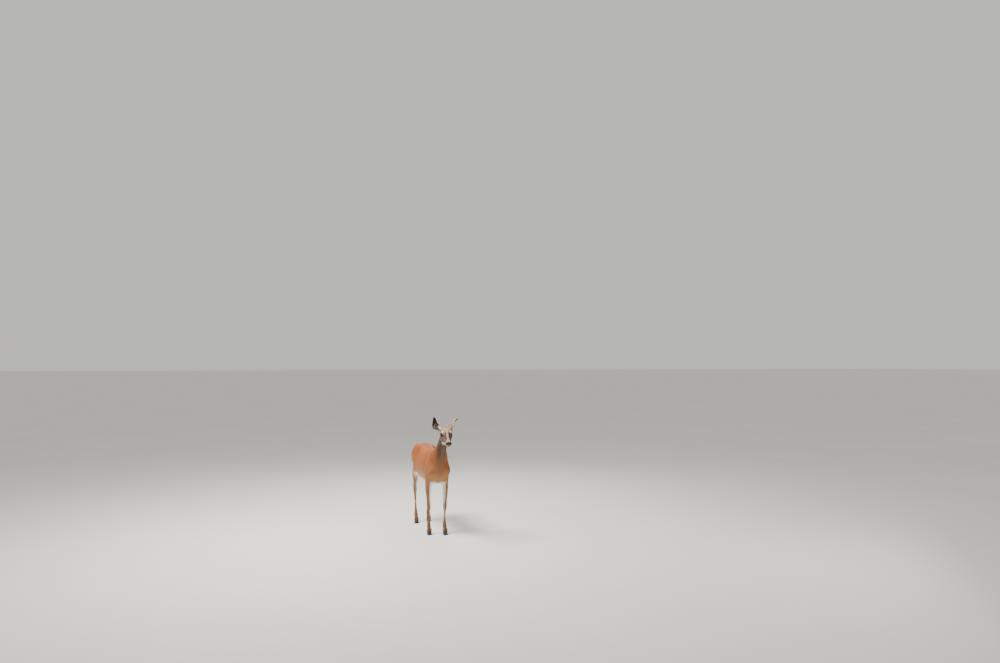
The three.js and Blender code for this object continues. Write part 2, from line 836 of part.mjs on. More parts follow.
function makeHead() {
  const headSides = 32;
  const loose = 30;
  const field = (x, y, z) => {
    const past = -(
      (y - throatLocal.at.y) * throatLocal.normal.y +
      (z - throatLocal.at.z) * throatLocal.normal.z +
      loose
    );
    return Math.max(fleshInHead(x, y, z), past);
  };
  const along = [...steps(-130, -60, 9), ...steps(-52, 40, 13), ...steps(50, 90, 4)];
  const line = through([
    [-130, -9],
    [-60, -12],
    [0, -8],
    [90, -2],
  ]);
  const nose = [80, 64, 48, 32, 16].map((tilt) => ({ at: point(0, -130, -9), normal: backwards, tilt: -tilt }));
  const nape = [20, 45, 70].map((tilt) => ({ at: point(0, 90, -2), normal: backwards, tilt }));
  const stations = [...nose, ...along.map((y) => ({ at: point(0, y, line(y)), normal: backwards })), ...nape];
  return (level) => solidOf(wrap(field, stations, headSides, { level, poles: [true, true], turn: Math.PI / headSides }));
}
const headAt = makeHead();

const eyeX = 40;
const eyeZ = 13;
const gaze = point(0.86, -0.46, 0.16).normalize();
const lidRadius = eyeRadius + 3.2;

// The opening between the lids: a lens of two arcs, longer than high, its front corner lower.
function lidOpening(side) {
  const [halfLength, halfHeight] = [15.4, 10.4];
  const radius = (halfLength ** 2 + halfHeight ** 2) / (2 * halfHeight);
  const reachAngle = Math.asin(halfLength / radius);
  const lens = new THREE.Shape();
  lens.absarc(0, halfHeight - radius, radius, Math.PI / 2 - reachAngle, Math.PI / 2 + reachAngle, false);
  lens.absarc(0, radius - halfHeight, radius, -Math.PI / 2 - reachAngle, -Math.PI / 2 + reachAngle, false);
  const cutter = new THREE.ExtrudeGeometry(lens, { depth: 40, bevelEnabled: false, curveSegments: 7 });
  const look = gaze.clone().multiply(point(side, 1, 1));
  const aside = new THREE.Vector3().crossVectors(upright, look).normalize();
  const up = new THREE.Vector3().crossVectors(look, aside);
  cutter.rotateZ(side * radians(-14));
  cutter.applyMatrix4(new THREE.Matrix4().makeBasis(aside, up, look));
  cutter.translate(side * eyeX, 0, eyeZ);
  return solidOf(cutter);
}

function ball(radius, x, y, z, round = 18) {
  return solidOf(new THREE.SphereGeometry(radius, round, Math.round(round * 0.7)).translate(x, y, z));
}

let headSolid = halfOf(headAt(0), throatLocal.normal, throatLocal.at);
for (const side of [1, -1]) {
  headSolid = headSolid.add(ball(lidRadius, side * eyeX, 0, eyeZ, 15));
  headSolid = headSolid.subtract(ball(eyeRadius + gap, side * eyeX, 0, eyeZ, 16));
  headSolid = headSolid.subtract(lidOpening(side));
}

// The line of the mouth: a curved slot round the muzzle, left solid inside.
function mouthSlot() {
  const mouthLine = [
    [-190, -25],
    [-152, -25.5],
    [-122, -28],
    [-94, -28],
    [-78, -31],
  ];
  const lower = mouthLine.map(([y, z]) => [y, z - 2]).reverse();
  const strip = sideBlock([...mouthLine, ...lower], -60, 60);
  const inside = steps(-140, -60, 8).map((y) => ({ at: point(0, y, -14), normal: backwards }));
  return strip.subtract(solidOf(wrap(fleshInHead, inside, 20, { level: -4, poles: [true, false] })));
}
headSolid = headSolid.subtract(mouthSlot());

function nostril(side) {
  const pit = new THREE.SphereGeometry(1, 10, 7);
  pit.scale(5, 10, 6.5);
  pit.rotateZ(side * radians(24));
  pit.translate(side * 20.5, -163, 0);
  return solidOf(pit);
}
for (const side of [1, -1]) headSolid = headSolid.subtract(nostril(side));

const nosePlane = { at: point(0, -154, 12), normal: point(0, -1, 0.34).normalize() };
addNode(headGroup, "nose", halfOf(headSolid, nosePlane.normal, nosePlane.at, gap), noseSkin);
headSolid = halfOf(headSolid, nosePlane.normal.clone().negate(), nosePlane.at);
addNode(headGroup, "head", headSolid, faceCoat);

for (const [name, side] of [
  ["left", 1],
  ["right", -1],
])
  addNode(headGroup, `eye_${name}`, ball(eyeRadius, side * eyeX, 0, eyeZ, 16), eyeGlass);

// ---------- Ears ----------
// A cup rolled from a long leaf. Round the midrib the section is an arc; the leaf is widest below its middle,
// rolled nearly shut at the root and almost flat at the tip.
const earHalfWidth = through([
  [0, 19],
  [0.14, 26],
  [0.34, 37],
  [0.54, 41],
  [0.74, 36],
  [0.9, 22],
  [1, 3],
]);
const earRoll = through([
  [0, 158],
  [0.14, 128],
  [0.34, 96],
  [0.6, 74],
  [0.85, 54],
  [1, 40],
]);
const earThickness = through([
  [0, 8],
  [0.2, 4.6],
  [0.5, 3.2],
  [1, 2],
]);

const earBow = 26;

function makeEar(side, root, along, open) {
  const [rows, columns] = [13, 10];
  const facing = open.clone().addScaledVector(along, -open.dot(along)).normalize();
  const aside = new THREE.Vector3().crossVectors(along, facing).multiplyScalar(side);
  const outer = [];
  const inner = [];
  for (const t of steps(-0.06, 1, rows)) {
    const roll = radians(earRoll(t));
    const radius = earHalfWidth(t) / Math.sin(Math.min(roll, Math.PI / 2));
    const bow = Math.sin(Math.PI * clamp01(t)) * earBow; // the inner edge runs straight, the outer one swells
    const middle = root
      .clone()
      .addScaledVector(along, t * earLength)
      .addScaledVector(facing, 14 * t * t)
      .addScaledVector(aside, bow);
    const place = (angle, r) =>
      middle
        .clone()
        .addScaledVector(aside, r * Math.sin(angle))
        .addScaledVector(facing, radius - r * Math.cos(angle) - radius)
        .toArray();
    const angles = steps(-roll, roll, columns);
    outer.push(angles.map((a) => place(a, radius)));
    inner.push(angles.map((a) => place(a, radius - earThickness(clamp01(t)))));
  }
  // Each ring runs up the outer arc and back along the inner one.
  const rings = outer.map((line, i) => [...line, ...inner[i].slice().reverse()]);
  const count = rings[0].length;
  const index = [];
  for (let i = 0; i + 1 < rings.length; i++)
    for (let j = 0; j < count; j++) {
      const next = (j + 1) % count;
      const [a, b, c, d] = [i * count + j, i * count + next, (i + 1) * count + j, (i + 1) * count + next];
      index.push(a, b, d, a, d, c);
    }
  for (const [ring, flip] of [
    [0, true],
    [rings.length - 1, false],
  ])
    for (let j = 0; j < columns; j++) {
      const [a, b] = [ring * count + j, ring * count + j + 1];
      const [c, d] = [ring * count + count - 1 - j, ring * count + count - 2 - j];
      index.push(...(flip ? [a, d, b, a, c, d] : [a, b, d, a, d, c]));
    }
  const geometry = new THREE.BufferGeometry();
  geometry.setAttribute("position", new THREE.Float32BufferAttribute(rings.flat(2), 3));
  geometry.setIndex(index);
  return solidOf(geometry);
}

const headGrown = headAt(gap);
for (const [name, side, along, open] of [
  ["left", 1, point(0.56, 0.76, 0.33), point(1, 0.05, 0)],
  ["right", -1, point(-0.36, 0.82, 0.38), point(-0.34, -0.86, 0.3)],
]) {
  const ear = makeEar(side, point(side * 44, 62, 26), along.normalize(), open);
  addNode(headGroup, `ear_${name}`, ear.subtract(headGrown), earSkin);
}

// ---------- Tail ----------
const tailPath = new THREE.CatmullRomCurve3([
  point(0, 700, 826),
  point(0, 746, 813),
  point(0, 779, 770),
  point(0, 792, 706),
  point(0, 792, 610),
]);
const tailWide = through([
  [0, 20],
  [0.25, 24],
  [0.5, 28],
  [0.75, 23],
  [1, 7],
]);
const tailDeep = through([
  [0, 18],
  [0.25, 16],
  [0.6, 12],
  [1, 4],
]);

// A place on the tail's skin: share runs down it, and angle round it from the animal's left, past the back.
function tailPlace(share, angle, sunk = 0) {
  const at = tailPath.getPoint(share);
  const way = tailPath.getTangent(share);
  const out = point(0, -way.z, way.y);
  const [across, back] = [tailWide(share) - sunk, tailDeep(share) - sunk];
  return {
    at: at.clone().add(point(across * Math.cos(angle), 0, 0)).addScaledVector(out, back * Math.sin(angle)),
    out: point(Math.cos(angle), 0, 0).addScaledVector(out, Math.sin(angle)),
    way,
  };
}

// A flat lock of hair: it leaves the skin at a slant, bends to hang straight and tapers to its tip.
function makeLock({ at, out, way }, length, width, depth, lift) {
  const flat = new THREE.Vector3().crossVectors(way, out).normalize();
  const start = way.clone().addScaledVector(out, lift).normalize();
  const bend = new THREE.QuadraticBezierCurve3(
    at,
    at.clone().addScaledVector(start, length * 0.45),
    at.clone().addScaledVector(start, length * 0.45).addScaledVector(point(0, 0, -1), length * 0.55),
  );
  const shape = through([
    [0, 0.7],
    [0.35, 1],
    [0.7, 0.72],
    [1, 0.12],
  ]);
  const rings = steps(0, 1, 3).map((t) => {
    const middle = bend.getPoint(t);
    const normal = new THREE.Vector3().crossVectors(flat, bend.getTangent(t)).normalize();
    return [
      [1, 0],
      [0, 1],
      [-1, 0],
      [0, -1],
    ].map(([a, b]) =>
      middle
        .clone()
        .addScaledVector(flat, a * width * shape(t))
        .addScaledVector(normal, b * depth * shape(t))
        .toArray(),
    );
  });
  return solidOf(ringsToGeometry(rings, bend.getPoint(0).toArray(), bend.getPoint(1).toArray()));
}

function makeTail() {
  const sides = 8;
  const rings = steps(0, 1, 9).map((share) =>
    Array.from({ length: sides }, (_, j) => tailPlace(share, (2 * Math.PI * (j + 0.5)) / sides).at.toArray()),
  );
  let tail = solidOf(ringsToGeometry(rings, tailPath.getPoint(0).toArray(), tailPath.getPoint(1).toArray()));
  const rows = 5;
  for (let row = 0; row < rows; row++) {
    const share = 0.3 + (0.63 * row) / (rows - 1);
    const count = row % 2 ? 5 : 4;
    for (let i = 0; i < count; i++) {
      const spread = i / (count - 1) - 0.5;
      const angle = Math.PI * (0.5 - spread * 1.16);
      const length = 104 - 18 * Math.abs(spread) + 5 * Math.sin(7 * row + 3 * i);
      tail = tail.add(makeLock(tailPlace(share, angle, 5), length, 14, 3.8, 0.18 + 0.5 * Math.abs(spread)));
    }
  }
  return largest(tail);
}
addNode(deer, "tail", makeTail().subtract(trunkAt(gap)), tailCoat);

// ---------- The origin lies on the floor under the middle of the whole animal ----------
deer.updateMatrixWorld(true);
const extent = new THREE.Box3().setFromObject(deer, true);
deer.position.set(-(extent.min.x + extent.max.x) / 2, -(extent.min.y + extent.max.y) / 2, -extent.min.z);

export default deer;
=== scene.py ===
"""A life-size white-tailed doe in red summer coat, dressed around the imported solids."""

import math
import bmesh
import bpy
import numpy as np
import openvdb
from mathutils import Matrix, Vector, bvhtree


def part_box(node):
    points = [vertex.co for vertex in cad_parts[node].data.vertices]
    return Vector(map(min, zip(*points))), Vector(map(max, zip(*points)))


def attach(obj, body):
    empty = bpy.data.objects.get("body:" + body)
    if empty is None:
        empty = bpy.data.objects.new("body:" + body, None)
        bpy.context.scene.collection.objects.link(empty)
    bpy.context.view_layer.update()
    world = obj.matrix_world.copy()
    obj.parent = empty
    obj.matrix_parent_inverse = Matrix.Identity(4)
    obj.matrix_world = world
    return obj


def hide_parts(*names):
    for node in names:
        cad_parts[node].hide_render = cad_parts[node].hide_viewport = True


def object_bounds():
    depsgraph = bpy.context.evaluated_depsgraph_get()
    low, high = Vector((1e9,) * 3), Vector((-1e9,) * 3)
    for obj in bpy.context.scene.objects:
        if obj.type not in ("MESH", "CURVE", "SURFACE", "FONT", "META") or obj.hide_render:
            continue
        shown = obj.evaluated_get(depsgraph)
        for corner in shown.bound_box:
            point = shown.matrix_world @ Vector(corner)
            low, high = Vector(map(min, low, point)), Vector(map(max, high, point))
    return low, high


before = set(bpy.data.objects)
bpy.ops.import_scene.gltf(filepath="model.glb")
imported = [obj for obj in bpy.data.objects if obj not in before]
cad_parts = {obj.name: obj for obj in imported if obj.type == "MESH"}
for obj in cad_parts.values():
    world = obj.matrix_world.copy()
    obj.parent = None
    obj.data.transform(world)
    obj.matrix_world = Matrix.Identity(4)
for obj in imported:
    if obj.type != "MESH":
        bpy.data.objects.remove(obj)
solid_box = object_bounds()

# ---------------------------------------------------------------- Head lines
# The skull sets the lines that the whole face is laid out on: its middle plane lies between the two eyeballs,
# and the face slopes down in front of them. Head sizes below are in millimetres along these lines: x to the
# animal's left, y back towards the poll, z up out of the forehead.
FACE_SLOPE = math.radians(26)
EYE_SEAT = np.array([40.0, 0.0, 13.0])


def centre_of(node):
    low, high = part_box(node)
    return np.array((low + high) / 2)


def unit(way):
    return np.asarray(way, float) / np.linalg.norm(way)


left_eye, right_eye = centre_of("eye_left"), centre_of("eye_right")
across = unit(left_eye - right_eye)
level_back = np.cross([0, 0, 1], across)
face_back = level_back * math.cos(FACE_SLOPE) + np.array([0, 0, math.sin(FACE_SLOPE)])
head_axes = np.stack([across, face_back, np.cross(across, face_back)], axis=1)
head_seat = (left_eye + right_eye) / 2 - head_axes[:, 2] * EYE_SEAT[2] / 1000


def in_head(points):
    return (np.asarray(points) - head_seat) @ head_axes * 1000


def from_head(places):
    return np.asarray(places) / 1000 @ head_axes.T + head_seat


# ---------------------------------------------------------------- Hide over the body
# The hide is one skin over muscle and bone, from the poll to the hooves and round the dock of the tail. It
# follows the flesh solids, with their flats softened, and lies deeper than they do by the depth of the coat.
BODY_PITCH = 0.0045
BODY_BAND = 6
SPARE = 0.03
SEAL = 0.001
LEGS = [f"{part}_{side}" for side in ("left", "right") for part in (
    "shoulder", "forearm", "fore_cannon", "fore_pastern", "thigh", "shank", "hind_cannon", "hind_pastern")]
FLESH = ["trunk", "neck", "head", "nose", *LEGS]
COAT_DEPTH = 0.006
LEG_COAT_DEPTH = 0.0025
LEG_TOP = 0.58
ANKLE_TOP = 0.14


def read(parts, field, width, kind=np.float32):
    """One field of a mesh's parts as an array, with width values in each row."""
    values = np.empty(len(parts) * width, kind)
    parts.foreach_get(field, values)
    return values.reshape(-1, width)


def solids_of(nodes):
    """The corners and triangles of several solids together."""
    corners, faces, count = [], [], 0
    for node in nodes:
        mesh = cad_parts[node].data
        mesh.calc_loop_triangles()
        corners.append(read(mesh.vertices, "co", 3))
        faces.append(read(mesh.loop_triangles, "vertices", 3, np.int32) + count)
        count += len(mesh.vertices)
    return np.concatenate(corners), np.concatenate(faces)


def lattice(low, pitch):
    """Where a block of distances stands: its first corner and the spacing of its points."""
    steps = [[pitch if i == j else 0.0 for j in range(3)] + [0.0] for i in range(3)]
    return openvdb.createLinearTransform([*steps, [*map(float, low), 1.0]])


def distances(corners, faces, low, high, pitch, band):
    """Each lattice point's distance to a closed surface, below zero inside, out to band steps."""
    corners = np.ascontiguousarray(corners, np.float32)
    faces = np.ascontiguousarray(faces, np.uint32)
    place = lattice(low, pitch)
    columns = {"triangles": faces} if faces.shape[1] == 3 else {"quads": faces}
    grid = openvdb.FloatGrid.createLevelSetFromPolygons(corners, transform=place, halfWidth=band, **columns)
    block = np.empty(np.ceil((np.array(high) - low) / pitch).astype(int) + 1, np.float32)
    grid.copyToArray(block)
    return block


def surface(block, low, pitch, level=0.0):
    """The corners and four-sided faces of the surface where a block of distances equals level."""
    grid = openvdb.FloatGrid(float(block.max()))
    grid.copyFromArray(np.ascontiguousarray(block, np.float32))
    grid.transform = lattice(low, pitch)
    return grid.convertToQuads(isovalue=level)


def cast_of(corners, faces, low, high, pitch, band, seal):
    """Distances to the outermost skin of solids that cut into one another, with gaps up to seal closed."""
    outer = surface(distances(corners, faces, low, high, pitch, 3), low, pitch, seal)
    return distances(*outer, low, high, pitch, band) + np.float32(seal)


def softened(block, spread):
    """The block blurred by spread steps, which rounds the edges between flats."""
    reach = math.ceil(spread * 2.5)
    weights = np.exp(-0.5 * (np.arange(-reach, reach + 1) / spread) ** 2)
    weights /= weights.sum()
    for axis in range(3):
        padded = np.pad(block, [(reach, reach) if i == axis else (0, 0) for i in range(3)], "edge")
        total = np.zeros_like(block)
        for i, weight in enumerate(weights):
            window = [slice(None)] * 3
            window[axis] = slice(i, i + block.shape[axis])
            total += np.float32(weight) * padded[tuple(window)]
        block = total
    return block


def joined(a, b, soft):
    """Two shapes grown together, with a fillet of about soft."""
    overlap = np.maximum(soft - np.abs(a - b), 0) / soft
    return np.minimum(a, b) - overlap * overlap * soft / 4


def rise(value, start, end):
    """From 0 at start to 1 at end, level at both."""
    share = np.clip((value - start) / (end - start), 0, 1)
    return share * share * (3 - 2 * share)


def bell(value, width):
    """1 at nought, falling to nothing a few widths off."""
    return np.exp(-((value / width) ** 2))


def bone(x, y, z, a, b, radius_a, radius_b):
    """Distance to a round bone that tapers from a to b."""
    run = np.subtract(b, a)
    off = x - a[0], y - a[1], z - a[2]
    share = np.clip((off[0] * run[0] + off[1] * run[1] + off[2] * run[2]) / (run @ run), 0, 1)
    gap = np.sqrt(sum((off[i] - share * run[i]) ** 2 for i in range(3)))
    return gap - radius_a - (radius_b - radius_a) * share


def swell(block, places, centre, radii, amount):
    """Raises the skin by amount round a centre, or presses it in where amount is below zero."""
    far = sum(((place - at) / radius) ** 2 for place, at, radius in zip(places, centre, radii))
    block -= (amount * np.exp(-far)).astype(np.float32)


def fold(block, places, line, width, amount):
    """Raises a ridge along a line of points, or presses a crease where amount is below zero."""
    near = bone(*places, line[0], line[1], 0.0, 0.0)
    for a, b in zip(line[1:], line[2:]):
        near = np.minimum(near, bone(*places, a, b, 0.0, 0.0))
    block -= (amount * bell(near, width)).astype(np.float32)


def line_up(low, shape, pitch):
    """The lattice's places along x, y and z, shaped so that they spread over a block."""
    x, y, z = (low[i] + np.arange(shape[i], dtype=np.float32) * pitch for i in range(3))
    return x[:, None, None], y[None, :, None], z[None, None, :]


def box_of(node):
    return [np.array(corner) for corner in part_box(node)]


def below(height):
    """The body lattice's levels from the ground up to a height."""
    return slice(0, int((height - body_low[2]) / BODY_PITCH))


body_low, body_high = np.array(solid_box[0]) - SPARE, np.array(solid_box[1]) + SPARE
body = cast_of(*solids_of(FLESH), body_low, body_high, BODY_PITCH, BODY_BAND, SEAL)
body = softened(body, 1.2)

# The dock is the bony part of the tail, and the long hair hangs from it.
tail_low, tail_high = box_of("tail")
tail_x = (tail_low[0] + tail_high[0]) / 2
dock = np.array([
    [tail_x, tail_low[1] - 0.004, tail_high[2] - 0.016],
    [tail_x, tail_high[1] - 0.069, tail_high[2] - 0.029],
    [tail_x, tail_high[1] - 0.036, tail_high[2] - 0.072],
    [tail_x, tail_high[1] - 0.026, tail_high[2] - 0.130],
    [tail_x, tail_high[1] - 0.024, tail_high[2] - 0.200],
])
dock_radius = [0.017, 0.014, 0.012, 0.0095, 0.006]
x, y, z = line_up(body_low, body.shape, BODY_PITCH)
behind = slice(int((tail_low[1] - 0.05 - body_low[1]) / BODY_PITCH), None)
for a, b, radius_a, radius_b in zip(dock, dock[1:], dock_radius, dock_radius[1:]):
    tail = bone(x, y[:, behind], z, a, b, radius_a, radius_b)
    body[:, behind] = joined(body[:, behind], tail - 0.001, 0.012)

# Under the coat each pastern parts into two toes, which end in the claws, with a soft seat for each dewclaw.
flesh = body[:, :, below(ANKLE_TOP)]
places = (x, y, z[:, :, below(ANKLE_TOP)])
for foot in ("fore_left", "fore_right", "hind_left", "hind_right"):
    for toe in ("inner", "outer"):
        low, high = box_of(f"{foot}_claw_{toe}")
        middle = (low + high) / 2
        coronet, bed = [middle[0], middle[1] + 0.010, high[2] + 0.016], [middle[0], middle[1] + 0.004, 0.020]
        spur = centre_of(f"{foot}_dewclaw_{toe}")
        shin = [spur[0], spur[1] - 0.016, spur[2] + 0.012]
        flesh[:] = joined(flesh, bone(*places, coronet, bed, 0.0135, 0.0115), 0.006)
        flesh[:] = joined(flesh, bone(*places, shin, spur, 0.011, 0.0075), 0.006)

# Muscle and bone that show through the coat: each is a ridge or crease along a line, or a swelling or hollow
# round a centre, with how wide it is and how far it stands out.
left_half = (np.abs(x), y, z)
for shape, *how in (
    # The shoulder blade with a groove before and behind it, the groove of the neck, and two muscles.
    (fold, [(0.055, -0.135, 0.84), (0.10, -0.215, 0.66)], 0.014, 0.0045),
    (fold, [(0.055, -0.205, 0.83), (0.09, -0.285, 0.66)], 0.018, -0.005),
    (fold, [(0.09, -0.07, 0.80), (0.115, -0.04, 0.62)], 0.018, -0.007),
    (fold, [(0.045, -0.42, 0.93), (0.062, -0.345, 0.80), (0.06, -0.32, 0.71)], 0.012, -0.0045),
    (swell, (0.095, -0.275, 0.635), (0.03, 0.035, 0.035), 0.008),
    (swell, (0.12, -0.115, 0.64), (0.04, 0.05, 0.06), 0.006),
    # The ribs.
    *[(fold, [(0.11, rib, 0.79), (0.13, rib + 0.03, 0.66), (0.10, rib + 0.01, 0.56)], 0.010, 0.0018)
      for rib in (-0.02 + 0.04 * i for i in range(7))],
    # The flank's hollow, the point of the hip, the seat bone, the thigh's groove, the stifle and its fold.
    (swell, (0.09, 0.335, 0.785), (0.04, 0.045, 0.05), -0.012),
    (swell, (0.085, 0.39, 0.84), (0.022, 0.03, 0.02), 0.009),
    (swell, (0.055, 0.61, 0.775), (0.022, 0.02, 0.028), 0.005),
    (fold, [(0.085, 0.555, 0.79), (0.11, 0.52, 0.60)], 0.014, -0.006),
    (swell, (0.12, 0.365, 0.60), (0.03, 0.035, 0.04), 0.008),
    (fold, [(0.105, 0.335, 0.635), (0.095, 0.25, 0.575)], 0.015, 0.006),
):
    shape(body, left_half, *how)


def slice_of(node, height):
    """The left, right, front and back of a leg at a height."""
    corners, _ = solids_of([node])
    near_by = corners[np.argsort(np.abs(corners[:, 2] - height))[:24]]
    return near_by[:, 0].min(), near_by[:, 0].max(), near_by[:, 1].min(), near_by[:, 1].max()


# The joints of the legs: knee, elbow, hock, the hollow before its tendon, the shins' tendons, and fetlocks.
legs = body[:, :, below(LEG_TOP)]
places = (x, y, z[:, :, below(LEG_TOP)])
for half in ("left", "right"):
    a, b, front, back = slice_of("fore_cannon_" + half, 0.255)
    middle = (a + b) / 2
    swell(legs, places, (middle, front + 0.004, 0.268), (0.018, 0.012, 0.022), 0.004)
    swell(legs, places, (middle, back, 0.282), (0.012, 0.010, 0.014), 0.005)
    a, b, front, back = slice_of("forearm_" + half, 0.49)
    swell(legs, places, ((a + b) / 2, back - 0.004, 0.50), (0.018, 0.016, 0.022), 0.007)
    a, b, front, back = slice_of("shank_" + half, 0.40)
    heel = (a + b) / 2
    swell(legs, places, (heel, back - 0.002, 0.405), (0.012, 0.012, 0.024), 0.005)
    swell(legs, places, (heel, front + 0.002, 0.375), (0.018, 0.010, 0.022), 0.003)
    a, b, _, back = slice_of("shank_" + half, 0.455)
    for edge in (a + 0.004, b - 0.004):
        swell(legs, places, (edge, back - 0.030, 0.452), (0.012, 0.012, 0.032), -0.005)
    for shin in ("fore_cannon_", "hind_cannon_"):
        a, b, front, back = slice_of(shin + half, 0.19)
        for edge in (a + 0.001, b - 0.001):
            ends = [(edge, back - 0.011, height) for height in (0.235, 0.14)]
            fold(legs, places, ends, 0.006, -0.0028)
    for ankle in ("fore_pastern_", "hind_pastern_"):
        a, b, front, back = slice_of(ankle + half, 0.110)
        for edge in (a + 0.004, b - 0.004):
            swell(legs, places, (edge, (front + back) / 2, 0.114), (0.009, 0.013, 0.015), 0.003)

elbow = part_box("forearm_left")[1][2]
body += LEG_COAT_DEPTH + (COAT_DEPTH - LEG_COAT_DEPTH) * rise(z, elbow - 0.12, elbow + 0.12)
body_skin, body_faces = surface(body, body_low, BODY_PITCH)

# ---------------------------------------------------------------- Face
# The face is thin skin close over bone: lids that wrap the eyeballs, a wet gland slit before each eye, soft
# nostril wings, a parted upper lip and the line of the mouth. It is cast from the head solids at one
# millimetre, softened, and each fold is then raised or pressed in.
FACE_PITCH = 1.0
FACE_BAND = 12
FACE_SEAL = 0.5
EYE_RADIUS = 16.5
LID_THICKNESS = 2.6
LID_HALF_LENGTH = 15.6
UPPER_LID_ARC = 11.4
LOWER_LID_ARC = 9.4
LID_SLANT = math.radians(14)
GAZE = unit((0.86, -0.46, 0.16))
MOUTH = [(-175, -25.5), (-152, -26.5), (-122, -28.5), (-100, -29.5), (-84, -33.5)]
SEAM = np.array([0.0, 60.0, -88.0])
SEAM_WAY = np.array([0.0, 0.21, -0.978])
# Each ear's side, its root, the way it points and the way its hollow opens.
EAR_TURNS = {
    "ear_left": (1, (44, 62, 26), (0.56, 0.76, 0.33), (1, 0.05, 0)),
    "ear_right": (-1, (-44, 62, 26), (-0.36, 0.82, 0.38), (-0.34, -0.86, 0.3)),
}


def lens(u, v):
    """Signed distance in from the rim of the lids' opening, in the plane that the eye looks through."""
    def arc(height):
        radius = (LID_HALF_LENGTH ** 2 + height ** 2) / (2 * height)
        return radius, radius - height
    up_radius, up_drop = arc(UPPER_LID_ARC)
    low_radius, low_drop = arc(LOWER_LID_ARC)
    return np.maximum(np.hypot(u, v + up_drop) - up_radius, np.hypot(u, v - low_drop) - low_radius)


def down_neck(y, z):
    """How far places in the head lie beyond the seam across the neck."""
    return (y - SEAM[1]) * SEAM_WAY[1] + (z - SEAM[2]) * SEAM_WAY[2]


def lips_at(y):
    """How high the lips meet at places along the head."""
    return np.interp(y, *np.array(MOUTH).T)


head_low = np.array([-76.0, -188.0, -128.0])
head_high = np.array([76.0, 160.0, 78.0])
corners, faces = solids_of(["head", "nose", "neck"])
face = cast_of(in_head(corners), faces, head_low, head_high, FACE_PITCH, FACE_BAND, FACE_SEAL)
x, y, z = line_up(head_low, face.shape, FACE_PITCH)
side = np.abs(x)
places = (side, y, z)

# The solids' eye sockets, nostrils and mouth slot are closed before the casting is softened.
eyeball = np.sqrt((side - EYE_SEAT[0]) ** 2 + (y - EYE_SEAT[1]) ** 2 + (z - EYE_SEAT[2]) ** 2) - EYE_RADIUS
face = joined(face, eyeball - 1.0, 3.0)
face = joined(face, bone(*places, (15, -154, -3), (20, -156, -2), 9, 9), 5.0)
face = softened(face, 2.6)
depth = 1.2 + 2.8 * rise(y, 10, 100)
face += depth + (1000 * COAT_DEPTH - depth) * rise(down_neck(y, z), -60, -6)

# Bone and muscle under the skin: cheek, facial crest, the line below it, brow, bridge, the groove beside it,
# jaw edge, poll, and the root of each ear.
for shape, *how in (
    (swell, (36, 34, -36), (16, 26, 20), 2.0),
    (fold, [(50, 44, -2), (51, 16, -10), (44, -14, -14), (32, -46, -16)], 7, 1.6),
    (fold, [(30, -12, -28), (26, -40, -30), (22, -72, -29)], 8, -1.6),
    (fold, [(36, 22, 33), (46, 2, 30), (38, -20, 21)], 6, 1.4),
    (fold, [(13, -20, 34), (11, -70, 20), (10, -120, 14)], 5, 0.8),
    (fold, [(24, -32, 8), (20, -78, 1), (18, -116, -2)], 7, -1.5),
    (fold, [(34, 62, -52), (24, 20, -60), (14, -30, -46)], 7, 1.0),
    (swell, (0, 42, 44), (16, 26, 14), 1.6),
):
    shape(face, places, *how)
for _, root, way, _ in EAR_TURNS.values():
    way = unit(way)
    face = joined(face, bone(x, y, z, root - 22 * way, root + 13 * way, 22.0, 18.5), 14.0)

# Lids: a shell round each eyeball, thickened along the rim, with the opening cut through it.
lid_aside = unit(np.cross([0, 0, 1], GAZE))
lift = np.cross(GAZE, lid_aside)
lid_aside, lift = (
    lid_aside * math.cos(LID_SLANT) + lift * math.sin(LID_SLANT),
    lift * math.cos(LID_SLANT) - lid_aside * math.sin(LID_SLANT),
)
ex, ey, ez = side - EYE_SEAT[0], y - EYE_SEAT[1], z - EYE_SEAT[2]
u = ex * lid_aside[0] + ey * lid_aside[1] + ez * lid_aside[2]
v = ex * lift[0] + ey * lift[1] + ez * lift[2]
w = ex * GAZE[0] + ey * GAZE[1] + ez * GAZE[2]
opening = lens(u, v)
face = joined(face, eyeball - LID_THICKNESS, 6.0)
rim = bell(opening, 2.2) * (w > 0)
face -= (0.7 * rim * bell(eyeball, 5)).astype(np.float32)
crease = bell(opening - 6.0, 1.8) * (v > 0) * (w > -4)
face += (1.3 * crease * bell(eyeball, 8)).astype(np.float32)
fold(face, places, [(40, -19, 3), (36, -27, -1), (32, -35, -4)], 2.0, -2.6)
fold(face, places, [(41, -16, 6), (38, -22, 2)], 2.2, -1.6)
hollow = np.maximum(opening, -w)
face = np.maximum(face, -np.minimum(eyeball - 0.15, np.maximum(hollow, eyeball - 9.0)))


def front_of(block, side, height):
    """Where the front of the face stands at a place to the side and at a height."""
    line = block[int(side - head_low[0]), :, int(height - head_low[2])]
    return head_low[1] + np.argmax(line < 0)


